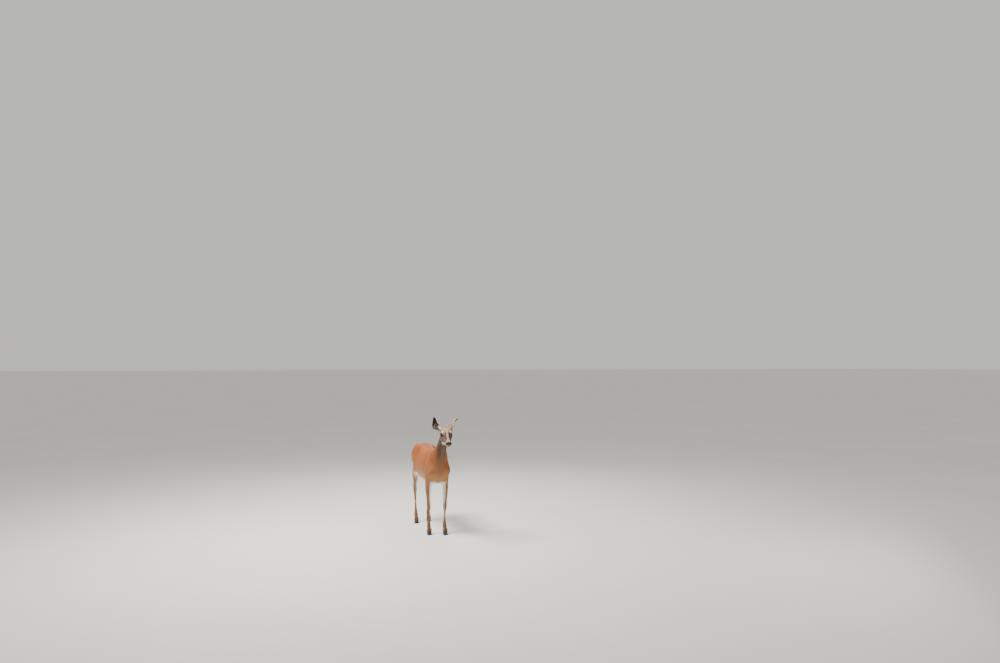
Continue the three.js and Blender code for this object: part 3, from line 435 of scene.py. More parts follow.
# Nostrils: a comma-shaped opening that runs out and back under a soft wing, with the cleft between them.
nostril = [(11.5, -1.5), (15.5, 0.5), (20.0, 2.0), (24.5, 4.5), (27.5, 8.0)]
nostril_radius = [3.6, 4.6, 3.8, 2.6, 1.2]
nostril = [(a, float(front_of(face, a, b)), b) for a, b in nostril]
fold(face, places, [(a, b + 1, c + 5.5) for a, b, c in nostril], 3.2, 1.7)
fold(face, places, [(a + 1, b + 1, c - 7) for a, b, c in nostril[1:]], 3.2, 1.3)
pit = bone(*places, nostril[1], (13.0, nostril[1][1] + 19, 1.0), 4.4, 2.8)
for a, b, radius_a, radius_b in zip(nostril, nostril[1:], nostril_radius, nostril_radius[1:]):
    pit = joined(pit, bone(*places, a, b, radius_a, radius_b), 1.5)
face = np.maximum(face, -pit)
fold(face, places, [(0, -174, 0), (0, -173, -14), (0, -168, -25)], 1.5, -1.6)
fold(face, places, [(0, -168, 16), (0, -173, 4)], 4.0, -0.8)

# Mouth: the lips meet in a line that runs back under the cheek and turns down at its corner.
lip_line = lips_at(y)
mouth = rise(-y, 84, 96)
for off, width, amount in ((0, 0.9, -2.6), (3.4, 2.4, 1.0), (-3.4, 2.4, 0.8)):
    face -= (amount * bell(z - lip_line - off, width) * mouth).astype(np.float32)
swell(face, places, (0, -150, -41), (12, 12, 7), 1.5)

head_skin, head_faces = surface(softened(face, 0.5), head_low, FACE_PITCH)
head_skin = from_head(head_skin)

# ---------------------------------------------------------------- Ears
# A doe's ear is a leaf of cartilage rolled into a cup: almost a tube where it leaves the skull, open in the
# middle and flat at the tip, with low ribs down its inside. Each is turned on its own, as the doe listens.
EAR_LENGTH = 158
EAR_ROWS = 64
EAR_COLUMNS = 40
EAR_BOW = 26
EAR_HALF_WIDTH = [(-0.06, 18), (0, 19), (0.14, 26), (0.34, 37), (0.54, 41), (0.74, 36), (0.9, 22), (1, 3)]
EAR_ROLL = [(-0.06, 160), (0, 158), (0.14, 128), (0.34, 96), (0.6, 74), (0.85, 54), (1, 40)]
EAR_THICKNESS = [(-0.06, 4.0), (0, 4.0), (0.2, 3.0), (0.5, 2.0), (1, 1.3)]
EAR_LEAN = 14


def through(pairs, at):
    """A smooth curve through pairs of place and value."""
    stops, values = np.array(pairs, float).T
    slopes = np.gradient(values, stops)
    i = np.clip(np.searchsorted(stops, at) - 1, 0, len(stops) - 2)
    run = stops[i + 1] - stops[i]
    share = (at - stops[i]) / run
    back = 1 - share
    ends = values[i] * back * back * (1 + 2 * share) + values[i + 1] * share * share * (1 + 2 * back)
    return ends + run * share * back * (slopes[i] * back - slopes[i + 1] * share)


def ear_ways(node):
    """An ear's own ways: along it, out to the side and out of its opening."""
    sign, _, along, opening = EAR_TURNS[node]
    along = unit(along)
    facing = unit(np.array(opening) - along * np.dot(opening, along))
    return along, np.cross(along, facing) * sign, facing


def ear_cup(node):
    """One ear's rings of corners: its back from edge to edge, then its inside the other way."""
    along, aside, facing = ear_ways(node)
    t = np.linspace(-0.06, 1, EAR_ROWS)[:, None]
    roll = np.radians(through(EAR_ROLL, t))
    radius = through(EAR_HALF_WIDTH, t) / np.sin(np.minimum(roll, math.pi / 2))
    turn = roll * np.sin(np.linspace(-1, 1, EAR_COLUMNS) * math.pi / 2)
    inward = np.sqrt(np.maximum(1 - (turn / roll) ** 6, 0.03))
    ribs = 0.8 * np.maximum(np.cos(turn * 9), 0) * rise(t, 0.08, 0.3) * (1 - rise(t, 0.5, 0.85))
    ripple = 0.5 * np.sin(7 * t + 3 * turn) * rise(t, 0.2, 0.6)
    outer = radius + ripple
    inner = outer - through(EAR_THICKNESS, t) * inward - ribs
    turn = np.concatenate([turn, turn[:, ::-1]], axis=1)
    reach = np.concatenate([outer, inner[:, ::-1]], axis=1)
    bow = np.sin(math.pi * np.clip(t, 0, 1)) * EAR_BOW
    root = np.array(EAR_TURNS[node][1])
    middle = root + t * EAR_LENGTH * along + EAR_LEAN * t * t * facing + bow * aside
    sideways, inwards = (reach * np.sin(turn))[..., None], (reach * np.cos(turn))[..., None]
    return middle[:, None] + sideways * aside - inwards * facing


def tube_faces(rows, count):
    """Four-sided faces round a stack of closed rings, with a strip of faces closing each end."""
    ring, j = np.divmod(np.arange((rows - 1) * count), count)
    a, b = ring * count + j, ring * count + (j + 1) % count
    sides = np.stack([a, b, b + count, a + count], axis=1)
    k = np.arange(count // 2 - 1)
    strip = np.stack([k, count - 1 - k, count - 2 - k, k + 1], axis=1)
    return np.concatenate([sides, strip, strip[:, ::-1] + (rows - 1) * count])


def mesh_of(name, corners, faces):
    mesh = bpy.data.meshes.new(name)
    mesh.from_pydata(np.asarray(corners).tolist(), [], np.asarray(faces).tolist())
    return mesh


def put(name, mesh):
    piece = bpy.data.objects.new(name, mesh)
    bpy.context.scene.collection.objects.link(piece)
    return piece


ears = []
for node, (sign, *_) in EAR_TURNS.items():
    rings = ear_cup(node)
    faces = tube_faces(*rings.shape[:2])
    if sign > 0:
        faces = faces[:, ::-1]
    ears.append(put(node + "_cup", mesh_of(node + "_cup", from_head(rings.reshape(-1, 3)), faces)))

# ---------------------------------------------------------------- One hide
# The face, cast finely, and the body, cast coarsely, are grown together across the neck just below the head,
# and the ears are joined on. The flats are thinned to fewer faces and what is left shades as one smooth hide.
SEAM_GAP = 0.002
HEAD_FACES = 88000
BODY_FACES = 86000


def cut_off(mesh, place, way):
    """What is left of a mesh behind a cut, largest piece only, with the cut left open."""
    form = bmesh.new()
    form.from_mesh(mesh)
    geometry = [*form.verts, *form.edges, *form.faces]
    bmesh.ops.bisect_plane(form, geom=geometry, plane_co=place, plane_no=way, clear_outer=True)
    form.verts.ensure_lookup_table()
    left, islands = set(form.verts), []
    while left:
        front = [left.pop()]
        island = list(front)
        while front:
            here = front.pop()
            found = {edge.other_vert(here) for edge in here.link_edges} & left
            left -= found
            front += found
            island += found
        islands.append(island)
    islands.sort(key=len)
    for island in islands[:-1]:
        bmesh.ops.delete(form, geom=island, context="VERTS")
    form.to_mesh(mesh)
    form.free()


def settle(piece, kind, **settings):
    """Adds a modifier and keeps its result as the piece's mesh."""
    modifier = piece.modifiers.new(kind.title(), kind)
    for name, value in settings.items():
        setattr(modifier, name, value)
    result = bpy.data.meshes.new_from_object(piece.evaluated_get(bpy.context.evaluated_depsgraph_get()))
    piece.modifiers.clear()
    piece.data = result


head_mesh = mesh_of("head", head_skin, head_faces)
body_mesh = mesh_of("body", body_skin, body_faces)
seam_at, seam_way = from_head([SEAM])[0], head_axes @ SEAM_WAY
cut_off(head_mesh, seam_at - seam_way * SEAM_GAP, seam_way)
cut_off(body_mesh, seam_at + seam_way * SEAM_GAP, -seam_way)
bodies = []
for part, faces in ((head_mesh, HEAD_FACES), (body_mesh, BODY_FACES)):
    piece = put("part", part)
    settle(piece, "TRIANGULATE")
    settle(piece, "DECIMATE", ratio=faces / len(piece.data.polygons))
    bodies.append(piece)

form = bmesh.new()
for piece in bodies:
    form.from_mesh(piece.data)
    bpy.data.objects.remove(piece)
rims = [edge for edge in form.edges if edge.is_boundary]
bmesh.ops.bridge_loops(form, edges=rims)
bmesh.ops.triangulate(form, faces=[face for face in form.faces if len(face.verts) > 3])
joined_mesh = bpy.data.meshes.new("hide")
form.to_mesh(joined_mesh)
form.free()
hide = put("hide", joined_mesh)
for ear in ears:
    settle(hide, "BOOLEAN", operation="UNION", solver="MANIFOLD", object=ear)
for ear in ears:
    bpy.data.objects.remove(ear)
hide.data.shade_smooth()
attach(hide, "root")
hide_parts(*FLESH[:3], *EAR_TURNS, *LEGS)

# ---------------------------------------------------------------- Nose pad
# The pad round the nostrils is bare black skin, thick and leathery, cobbled all over and kept wet by the
# tongue. It is cut out of the face's own cast, so that it lies in the hide as one skin.
PAD_RISE = 0.35
PAD_DEPTH = 3.0
PAD_LOW, PAD_TOP = -24, 9.5
PAD_HALF_WIDTH = [(-24, 3.5), (-17, 5), (-11, 13), (-4, 22), (3, 24.5), (6, 20), (8, 12), (9.5, 3)]
PAD_BACK = -148
COBBLE = 0.0017


def off_pad(side, y, z):
    """How far places in the head lie outside the rim of the nose pad, in millimetres."""
    wide = side - through(PAD_HALF_WIDTH, np.clip(z, PAD_LOW, PAD_TOP))
    return np.maximum(np.maximum(wide, y - PAD_BACK + 0.25 * z), np.abs(z + 7) - 16.5)


def linear(code):
    """A colour code such as #A4623A as linear red, green, blue and 1."""
    shares = [int(code[i:i + 2], 16) / 255 for i in (1, 3, 5)]
    return [s / 12.92 if s <= 0.04045 else ((s + 0.055) / 1.055) ** 2.4 for s in shares] + [1.0]


def add(tree, kind, inputs=(), **settings):
    """Adds a shader node with its settings; each input takes a value or another node's output."""
    node = tree.nodes.new("ShaderNode" + kind)
    for name, value in settings.items():
        setattr(node, name, value)
    for name, value in dict(inputs).items():
        if isinstance(value, bpy.types.NodeSocket):
            tree.links.new(value, node.inputs[name])
        else:
            node.inputs[name].default_value = value
    return node


def material(name, **values):
    """A new material with values on its surface shader: its tree, its shader and itself."""
    made = bpy.data.materials.new(name)
    made.use_nodes = True
    shader = made.node_tree.nodes["Principled BSDF"]
    for socket, value in values.items():
        shader.inputs[socket.replace("_", " ")].default_value = value
    return made.node_tree, shader, made


def refined(block, axis):
    """Twice as many points along an axis, each new one midway between two old ones."""
    block = np.moveaxis(block, axis, 0)
    finer = np.repeat(block, 2, axis=0)[:-1]
    finer[1::2] = (block[:-1] + block[1:]) / 2
    return np.moveaxis(finer, 0, axis)


pad_low = np.array([-34.0, head_low[1], -34.0])
start = (pad_low - head_low).astype(int)
flesh = face[start[0]:start[0] + 69, :int(PAD_BACK + 6 - head_low[1]), start[2]:start[2] + 60]
for axis in range(3):
    flesh = refined(flesh, axis)
px, py, pz = line_up(pad_low, flesh.shape, FACE_PITCH / 2)
edge = off_pad(np.abs(px), py, pz)
shell = -joined(PAD_RISE - flesh, flesh + PAD_DEPTH, 1.0)
pad = -joined(-shell, -edge, 3.0)
pad_corners, pad_faces = surface(softened(pad, 0.8), pad_low, FACE_PITCH / 2)
nose_pad = put("nose_pad", mesh_of("nose_pad", from_head(pad_corners), pad_faces))
nose_pad.data.shade_smooth()
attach(nose_pad, "root")
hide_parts("nose")

# Wet bare nose skin: the cobbles read as small soft glints, and a thin film of water gives the sharper ones.
tree, shader, wet_skin = material(
    "wet_nose_skin", Roughness=0.36, IOR=1.4, Coat_Weight=0.25, Coat_Roughness=0.12)
place = add(tree, "TexCoord").outputs["Object"]
cobbles = add(tree, "TexVoronoi", {"Vector": place, "Scale": 1 / COBBLE}, feature="SMOOTH_F1")
patches = add(tree, "TexNoise", {"Vector": place, "Scale": 1 / 0.012, "Detail": 3.0})
tone = add(tree, "ValToRGB", {"Fac": patches.outputs["Fac"]})
tone.color_ramp.elements[0].color = linear("#080606")
tone.color_ramp.elements[1].color = linear("#1A1514")
bump = add(tree, "Bump", {"Height": cobbles.outputs["Distance"], "Strength": 0.8, "Distance": 0.0007},
           invert=True)
tree.links.new(tone.outputs["Color"], shader.inputs["Base Color"])
tree.links.new(bump.outputs["Normal"], shader.inputs["Normal"])
nose_pad.data.materials.append(wet_skin)

# ---------------------------------------------------------------- Eyes
# A doe's eye is nearly all dark brown: a wide iris, a pupil that lies level as an oblong, and a clear wet
# cornea that stands out a little in front of it.
EYE_TURNS = 72
EYE_RINGS = 40
CORNEA_RISE = 1.1
CORNEA_RADIUS = 10.5
IRIS_RADIUS = 11.0
PUPIL_HALF = (6.4, 3.6)


def eye_mesh(sign):
    """An eyeball with its poles on the line of sight; each corner keeps its place across that line."""
    gaze = GAZE * [sign, 1, 1]
    level = unit(np.cross([0, 0, 1], gaze))
    up = np.cross(gaze, level)
    angle = np.linspace(0, math.pi, EYE_RINGS)[:, None]
    turn = np.linspace(0, 2 * math.pi, EYE_TURNS, endpoint=False)[None, :]
    u = EYE_RADIUS * np.sin(angle) * np.cos(turn)
    v = EYE_RADIUS * np.sin(angle) * np.sin(turn)
    w = EYE_RADIUS * np.cos(angle) + 0 * turn
    off = np.hypot(u, v)
    w = w + CORNEA_RISE * rise(CORNEA_RADIUS - off, 0, CORNEA_RADIUS) * (w > 0)
    sight = np.stack([u, v, w], axis=-1)[1:-1].reshape(-1, 3)
    sight = np.concatenate([sight, [[0, 0, EYE_RADIUS + CORNEA_RISE], [0, 0, -EYE_RADIUS]]])
    rings = EYE_RINGS - 2
    ring, j = np.divmod(np.arange((rings - 1) * EYE_TURNS), EYE_TURNS)
    a, b = ring * EYE_TURNS + j, ring * EYE_TURNS + (j + 1) % EYE_TURNS
    faces = np.stack([a, a + EYE_TURNS, b + EYE_TURNS, b], axis=1).tolist()
    j = np.arange(EYE_TURNS)
    last = (rings - 1) * EYE_TURNS
    faces += np.stack([j, (j + 1) % EYE_TURNS, 0 * j + len(sight) - 2], axis=1).tolist()
    faces += np.stack([last + (j + 1) % EYE_TURNS, last + j, 0 * j + len(sight) - 1], axis=1).tolist()
    places = EYE_SEAT * [sign, 1, 1] + sight @ np.stack([level, up, gaze])
    mesh = bpy.data.meshes.new("eye")
    mesh.from_pydata(from_head(places).tolist(), [], faces)
    mesh.attributes.new("sight", "FLOAT_VECTOR", "POINT").data.foreach_set("vector", sight.ravel())
    return mesh


# Living eye under a clear cornea: the iris is streaked towards the pupil, and the wet front mirrors the
# lights.
tree, shader, wet_eye = material("wet_brown_eye", Roughness=0.04, IOR=1.376, Specular_IOR_Level=0.36)
sight = add(tree, "Attribute", attribute_name="sight").outputs["Vector"]
part = add(tree, "SeparateXYZ", {"Vector": sight})
across_sight = add(tree, "CombineXYZ", {"X": part.outputs["X"], "Y": part.outputs["Y"]}).outputs["Vector"]
shorter = (1 / PUPIL_HALF[0], 1 / PUPIL_HALF[1], 0)
oblong = add(tree, "VectorMath", {0: across_sight, 1: shorter}, operation="MULTIPLY")
pupil = add(tree, "VectorMath", {0: oblong.outputs["Vector"]}, operation="LENGTH").outputs["Value"]
round_off = add(tree, "VectorMath", {0: across_sight}, operation="LENGTH").outputs["Value"]
streaks = add(tree, "TexNoise", {"Vector": across_sight, "Scale": 0.9, "Detail": 4.0, "Roughness": 0.7})
iris = add(tree, "ValToRGB", {"Fac": streaks.outputs["Fac"]})
iris.color_ramp.elements[0].color = linear("#0C0604")
iris.color_ramp.elements[1].color = linear("#2A150A")
hole = add(tree, "MapRange", {"Value": pupil, "From Min": 0.9, "From Max": 1.12})
seen = add(tree, "MixRGB", {"Fac": hole.outputs["Result"], "Color1": linear("#050505"),
                            "Color2": iris.outputs["Color"]})
limbus = add(tree, "MapRange", {"Value": round_off, "From Min": IRIS_RADIUS - 1.5,
                                "From Max": IRIS_RADIUS + 0.6})
whole_eye = add(tree, "MixRGB", {"Fac": limbus.outputs["Result"], "Color1": seen.outputs["Color"],
                                 "Color2": linear("#120B08")})
tree.links.new(whole_eye.outputs["Color"], shader.inputs["Base Color"])
for node, sign in (("eye_left", 1), ("eye_right", -1)):
    eye = put(node + "_ball", eye_mesh(sign))
    eye.data.shade_smooth()
    eye.data.materials.append(wet_eye)
    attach(eye, "root")
    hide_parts(node)

# ---------------------------------------------------------------- Hooves
# Each foot stands on two claws of black horn with two small dewclaws behind. Horn grows down from the
# coronet, so its walls carry fine level ridges, and walking polishes the toe and chips the lower edge.
HORN_PITCH = 0.0013
RIDGE_SPACING = 0.0034
RIDGE_HEIGHT = 0.00022
CAST_ROOM = 0.006
HOOVES = [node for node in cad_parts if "claw" in node]


def horn_of(node):
    """A claw cast from its solid, rounded a little and ridged from the coronet down."""
    low, high = box_of(node)
    low, high = low - CAST_ROOM, high + CAST_ROOM
    block = distances(*solids_of([node]), low, high, HORN_PITCH, 4)
    block = softened(block, 0.9)
    x, y, z = line_up(low, block.shape, HORN_PITCH)
    top = high[2] - CAST_ROOM
    bottom = low[2] + CAST_ROOM
    along_wall = z + 0.25 * (y - low[1])
    wave = np.sin(along_wall * (2 * math.pi / RIDGE_SPACING)) * rise(z, bottom + 0.002, bottom + 0.008)
    block = block + (RIDGE_HEIGHT * (wave - 1) * (z < top)).astype(np.float32)
    block = np.maximum(block, bottom - z)
    return surface(block, low, HORN_PITCH)


# Claw horn, grown and worn: brown-black with paler streaks down the wall, half polished, dull with dust
# below.
tree, shader, claw_horn = material("claw_horn", Roughness=0.42, IOR=1.54)
place = add(tree, "TexCoord").outputs["Object"]
part = add(tree, "SeparateXYZ", {"Vector": place})
down_wall = add(tree, "VectorMath", {0: place, 1: (700, 700, 90)}, operation="MULTIPLY").outputs["Vector"]
grain = add(tree, "TexNoise", {"Vector": down_wall, "Scale": 1.0, "Detail": 4.0})
tone = add(tree, "ValToRGB", {"Fac": grain.outputs["Fac"]})
tone.color_ramp.elements[0].position = 0.3
tone.color_ramp.elements[0].color = linear("#15110E")
tone.color_ramp.elements[1].position = 0.8
tone.color_ramp.elements[1].color = linear("#4A3B2E")
worn = add(tree, "MapRange", {"Value": part.outputs["Z"], "From Min": 0.0, "From Max": 0.012})
edge_tone = add(tree, "MixRGB", {"Fac": worn.outputs["Result"], "Color1": linear("#54463A"),
                                 "Color2": tone.outputs["Color"]})
bump = add(tree, "Bump", {"Height": grain.outputs["Fac"], "Strength": 0.3, "Distance": 0.0004})
tree.links.new(edge_tone.outputs["Color"], shader.inputs["Base Color"])
tree.links.new(bump.outputs["Normal"], shader.inputs["Normal"])
for node in HOOVES:
    corners, faces = horn_of(node)
    horn = put(node + "_horn", mesh_of(node + "_horn", corners, faces))
    horn.data.shade_smooth()
    horn.data.materials.append(claw_horn)
    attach(horn, "root")
    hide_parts(node)

# ---------------------------------------------------------------- Markings
# In summer a doe is red-brown, darkest along the spine, and white on her throat, belly, inner legs and under
# the tail. Her face is greyer, with a white band behind the black nose, pale rings round the eyes and pale
# ear rims. Painted shade darkens the neck, the face's sides, the chin, the skin below the eyes, the flanks of
# the nose bridge and the ear hollows; painted highlight lightens the bridge, the ears' front edges and the
# left ear's tip.


def tone_of(code):
    return np.array(linear(code)[:3])


BACK = tone_of("#A95F31")
SPINE = tone_of("#7C4C2D")
FLANK = tone_of("#AE6E40")
LOW_FLANK = tone_of("#BC946C")
# The neck's own brown, darkened further as painted shade.
NECK_BROWN_AND_SHADE = tone_of("#563D2B")
LEG_TAN = tone_of("#9F7049")
SHIN_BROWN = tone_of("#7D5538")
WHITE = tone_of("#EFE7DA")
CREAM = tone_of("#CDB49C")
# The face's own grey-brown, darkened further as painted shade on the cheeks and sides of the face.
FACE_BROWN_AND_SHADE = tone_of("#644E3E")
FOREHEAD = tone_of("#AC7A63")
# Pale of the nose bridge: painted highlight where the top of the muzzle takes the light.
BRIDGE_HIGHLIGHT = tone_of("#BF9A8A")
# A dark brown for real dark marks, also used as painted shade.
DARK_MARK_AND_SHADE = tone_of("#35241D")
BLACK = tone_of("#15100E")
EAR_BACK = tone_of("#A87C6B")
EAR_EDGE = tone_of("#3E2D25")
# The ear's hollow, dark as painted shade.
SHADED_EAR_INSIDE = tone_of("#40291F")
GLAND_TAN = tone_of("#7A4E30")
BELLY_LINE = [(-0.40, 0.47), (-0.30, 0.54), (-0.15, 0.55), (0.10, 0.545), (0.30, 0.575), (0.45, 0.64),
              (0.62, 0.70)]
HIDE_SHADE = 0.82


def column(values):
    return values[:, None]


def layered(ground, *layers):
    """Rows of values with others laid over them in turn, each with its share at every row."""
    for other, share in layers:
        ground = ground + (np.array(other) - ground) * column(np.clip(share, 0, 1))
    return ground


def units(ways, least=0.0):
    """Ways made one long."""
    return ways / (np.linalg.norm(ways, axis=-1, keepdims=True) + least)


def drift(points, size, seed=0):
    """A smooth wander between -1 and 1 over places, about size metres from crest to crest."""
    draw = np.random.default_rng(seed)
    total = np.zeros(len(points))
    for octave in range(4):
        ways = units(draw.normal(size=(3, 3)))
        turns = points @ ways.T * (2 * math.pi * 1.7 ** octave / size) + draw.uniform(0, 6.3, 3)
        total += np.sin(turns).prod(axis=1) * 0.75 ** octave
    return total / 1.6


def near(places, centre, radii):
    """1 at a centre, falling to nothing a few radii off."""
    return np.exp(-(((places - np.array(centre)) / np.array(radii)) ** 2).sum(axis=1))


def one_side(places):
    """Places on either half brought to the left one."""
    return np.column_stack([np.abs(places[:, 0]), places[:, 1:]])


def ear_width(t):
    return through(EAR_HALF_WIDTH, np.clip(t, 0, 1))


def ear_places(spots, node):
    """How far up an ear places in the head stand, which way they lie from the middle of its hollow, and how
    near its edge they are."""
    along, aside, facing = ear_ways(node)
    root = EAR_TURNS[node][1]
    t = (spots - root) @ along / EAR_LENGTH
    held = np.clip(t, 0, 1)
    hollow = np.array(root) + np.outer(t * EAR_LENGTH, along)
    hollow += np.outer(EAR_LEAN * held * held, facing) + np.outer(np.sin(math.pi * held) * EAR_BOW, aside)
    roll = np.radians(through(EAR_ROLL, held))
    edge = (spots - hollow) @ facing / ear_width(t) + np.cos(roll) / np.sin(np.minimum(roll, math.pi / 2))
    return t, spots - hollow, edge


def in_cup(from_hollow, t, ways):
    """Which places face an ear's hollow, going by the ways that they face, or lie in its mouth."""
    deep = np.linalg.norm(from_hollow, axis=1) < 0.75 * ear_width(t)
    return ((ways @ head_axes * from_hollow).sum(axis=1) < 0) | (deep & (t > 0.03) & (t < 0.5))


def on_ear(spots, node):
    """Which places lie on an ear, past the fur of its root."""
    t, from_hollow, _ = ear_places(spots, node)
    return (t > 0.06) & (t < 1.05) & (np.linalg.norm(from_hollow, axis=1) < ear_width(t) * 1.6 + 8)


def eye_rim(spots):
    """How far a place in the head lies from the rim of the nearer eye's opening, in millimetres."""
    off = one_side(spots) - EYE_SEAT
    gap = lens(off @ lid_aside, off @ lift)
    return np.where(off @ GAZE > -6, gap, 40.0) + np.maximum(np.linalg.norm(off, axis=1) - 30, 0)


def markings(points, normals):
    """The colour of the coat at places on the hide."""
    x, y, z = points.T
    out = np.abs(x)
    outward = normals[:, 0] * np.sign(x)
    ragged = drift(points, 0.03, 4)
    level = z + 0.012 * drift(points, 0.09, 3) + 0.004 * ragged
    over_legs = np.maximum(rise(-y, 0.08, 0.17), rise(y, 0.34, 0.46))
    forward = rise(-normals[:, 1], 0.2, 0.9)

    # White belly, insides of the legs and seat, each with its limits.
    belly = rise(through(BELLY_LINE, np.clip(y, -0.4, 0.62)) - level, -0.012, 0.014) * (z > 0.46)
    reach = 0.10 - 0.055 * rise(-y, 0.02, 0.12)
    belly *= np.maximum(rise(-normals[:, 2], 0.05, 0.45), rise(reach - out, 0, 0.03))
    belly *= rise(y, -0.24, -0.16) * rise(0.52 - y, 0, 0.06)
    belly *= 1 - rise(out, 0.075, 0.095) * rise(np.abs(y - 0.12), 0.20, 0.28)
    inner = rise(-outward, 0.05, 0.45) * rise(z, 0.27, 0.36) * rise(0.66 - z, 0, 0.05) * (out > 0.02)
    inner *= np.maximum(rise(0.115 - out, 0, 0.02), rise(0.56 - z, 0, 0.12))
    inner = np.maximum(inner, 0.55 * rise(-outward, 0.2, 0.7) * rise(z, 0.11, 0.2) * (z < 0.4))
    seat = rise(0.030 + 0.026 * rise(0.80 - z, 0, 0.14) - out + 0.007 * ragged, 0, 0.014)
    seat *= rise(y, 0.54, 0.585) * rise(0.80 - z, 0, 0.06) * (z > 0.52)
    dock_top = rise(y, 0.612, 0.628) * rise(z, 0.56, 0.62) * rise(0.034 - out, 0, 0.008)
    hock_gland = bell(z - 0.365, 0.026) * rise(-outward, 0.2, 0.6) * rise(y, 0.35, 0.42)
    shank_gland = bell(z - 0.235, 0.016) * rise(outward, 0.35, 0.7) * rise(y, 0.35, 0.42)
    tone = layered(
        FLANK,
        (BACK, rise(level, 0.62, 0.80)),
        (LOW_FLANK, rise(0.66 - level, 0.0, 0.09) * (1 - 0.75 * over_legs)),
        (SPINE, 0.75 * bell(out, 0.026) * rise(normals[:, 2], 0.3, 0.8)),
        # Neck: its brown, darkened as painted shade.
        (NECK_BROWN_AND_SHADE, rise(-y, 0.24, 0.36)),
        (LOW_FLANK, 0.2 * rise(-y, 0.20, 0.32) * rise(-normals[:, 1], 0.3, 0.9)),
        (LEG_TAN, rise(0.58 - level, 0, 0.12)),
        (SHIN_BROWN, 0.55 * rise(0.36 - z, 0, 0.1) * forward),
        (SHIN_BROWN, 0.7 * rise(0.105 - z, 0, 0.05)),
        (WHITE, np.maximum.reduce([belly, inner, seat]) * 0.95),
        (BACK, dock_top),
        (GLAND_TAN, 0.8 * hock_gland),
        (WHITE, 0.75 * shank_gland),
    )

    # The face, in millimetres along the head's own lines.
    spots = in_head(points)
    half = one_side(spots)
    side = half[:, 0]
    ragged = 1.6 * drift(points, 0.022, 5)
    back, up = spots[:, 1] + ragged, spots[:, 2] + ragged
    rim = eye_rim(spots)
    corner = np.linalg.norm((half - (37, -22, 8)) / (13, 14, 12), axis=1)
    band = -134 - 0.75 * (17 - up)
    lip_line = lips_at(spots[:, 1])
    look = layered(
        # Ground: the face's grey-brown, darkened as painted shade.
        FACE_BROWN_AND_SHADE,
        (FOREHEAD, rise(up, 22, 40) * rise(back, -40, 0)),
        # Towards the neck: the neck's brown with its painted shade.
        (NECK_BROWN_AND_SHADE, rise(back, 70, 120)),
        (CREAM, 0.5 * rise(-up, 30, 62) * rise(back, -60, 0)),
        # Dark streaks either side of the bridge are painted shade on its flanks; the pale bridge is painted
        # highlight.
        (DARK_MARK_AND_SHADE, 0.85 * bell(side - 16, 6.0) * rise(up, -6, 8) * rise(-back, 2, 24) * rise(back, -122, -90)),
        (BRIDGE_HIGHLIGHT, 0.8 * np.exp(-((side / 9.5) ** 4)) * rise(up, 2, 14) * rise(-back, -20, 20)),
        # Dark below and before the eye as painted shade, where the pale ring is kept faint; pale above it.
        (DARK_MARK_AND_SHADE, 0.5 * rise(18 - rim, 0, 10) * rise(14 - up, 0, 12)),
        (CREAM, (0.15 + 0.6 * rise(up, 8, 24)) * bell(rim - 7.5, 3.6)),
        (DARK_MARK_AND_SHADE, 0.95 * rise(1.5 - corner, 0, 0.7)),
        (BLACK, 0.9 * rise(1.2 - corner, 0, 0.5)),
        (WHITE, 0.7 * near(half, (38, -2, 35), (10, 10, 9))),
        # Dark behind the pad, then the pale band, lips and chin, with a dark spot at the side of the lower
        # lip.
        (DARK_MARK_AND_SHADE, 0.75 * rise(band - 10 - back, 0, 6) * rise(up, -4, 6)),
        (CREAM, 0.75 * bell(back - band, 10.0) * rise(side, -2, 9)),
        (CREAM, 0.85 * rise(-back, 92, 118) * rise(9 - np.abs(up - lip_line - 4), 0, 6)),
        # The chin's white, toned down to cream as painted shade under the jaw.
        (CREAM, 0.9 * rise(lip_line + 3 - up, 0, 6) * rise(-back, 70, 96)),
        (DARK_MARK_AND_SHADE, 0.9 * near(half, (15, -134, -37), (6, 9, 5))),
        # Black skin: the line of the mouth, the rim of the pad, the lids and the gland before the eye.
        (BLACK, rise(1.6 - np.abs(spots[:, 2] - lip_line), 0, 1) * rise(-back, 86, 96)),
        (BLACK, 0.9 * rise(3.5 - off_pad(side, spots[:, 1], spots[:, 2]), 0, 3)),
        (BLACK, rise(5.0 - rim, 0, 2.6)),
        (BLACK, 0.95 * near(half, (39, -20, 2), (5, 9, 6))),
    )
    on_face = rise(-down_neck(spots[:, 1], spots[:, 2]), 10, 60) * rise(150 - spots[:, 1], 20, 70)
    throat = near(half, (0, 8, -92), (34, 46, 24)) * 1.6
    tone = layered(tone, (look, on_face), (WHITE, 0.92 * rise(throat, 0.5, 0.9)))

    # The ears: pale behind, dark in the hollow as painted shade, with a bright front edge that is partly
    # pale hair and partly painted highlight; only the left one's tip is pale inside, as painted highlight.
    for node in EAR_TURNS:
        t, from_hollow, edge = ear_places(spots, node)
        front_edge = rise(-from_hollow @ ear_ways(node)[1], -4, 8)
        rim = rise(edge, -0.26, -0.06)
        shell = layered(
            EAR_BACK,
            (EAR_EDGE, 0.5 * rise(t, 0.86, 1.0) + 0.4 * rim * (1 - front_edge)),
            # The bright front edge is partly pale hair and partly painted highlight.
            (WHITE, 0.75 * rim * front_edge),
        )
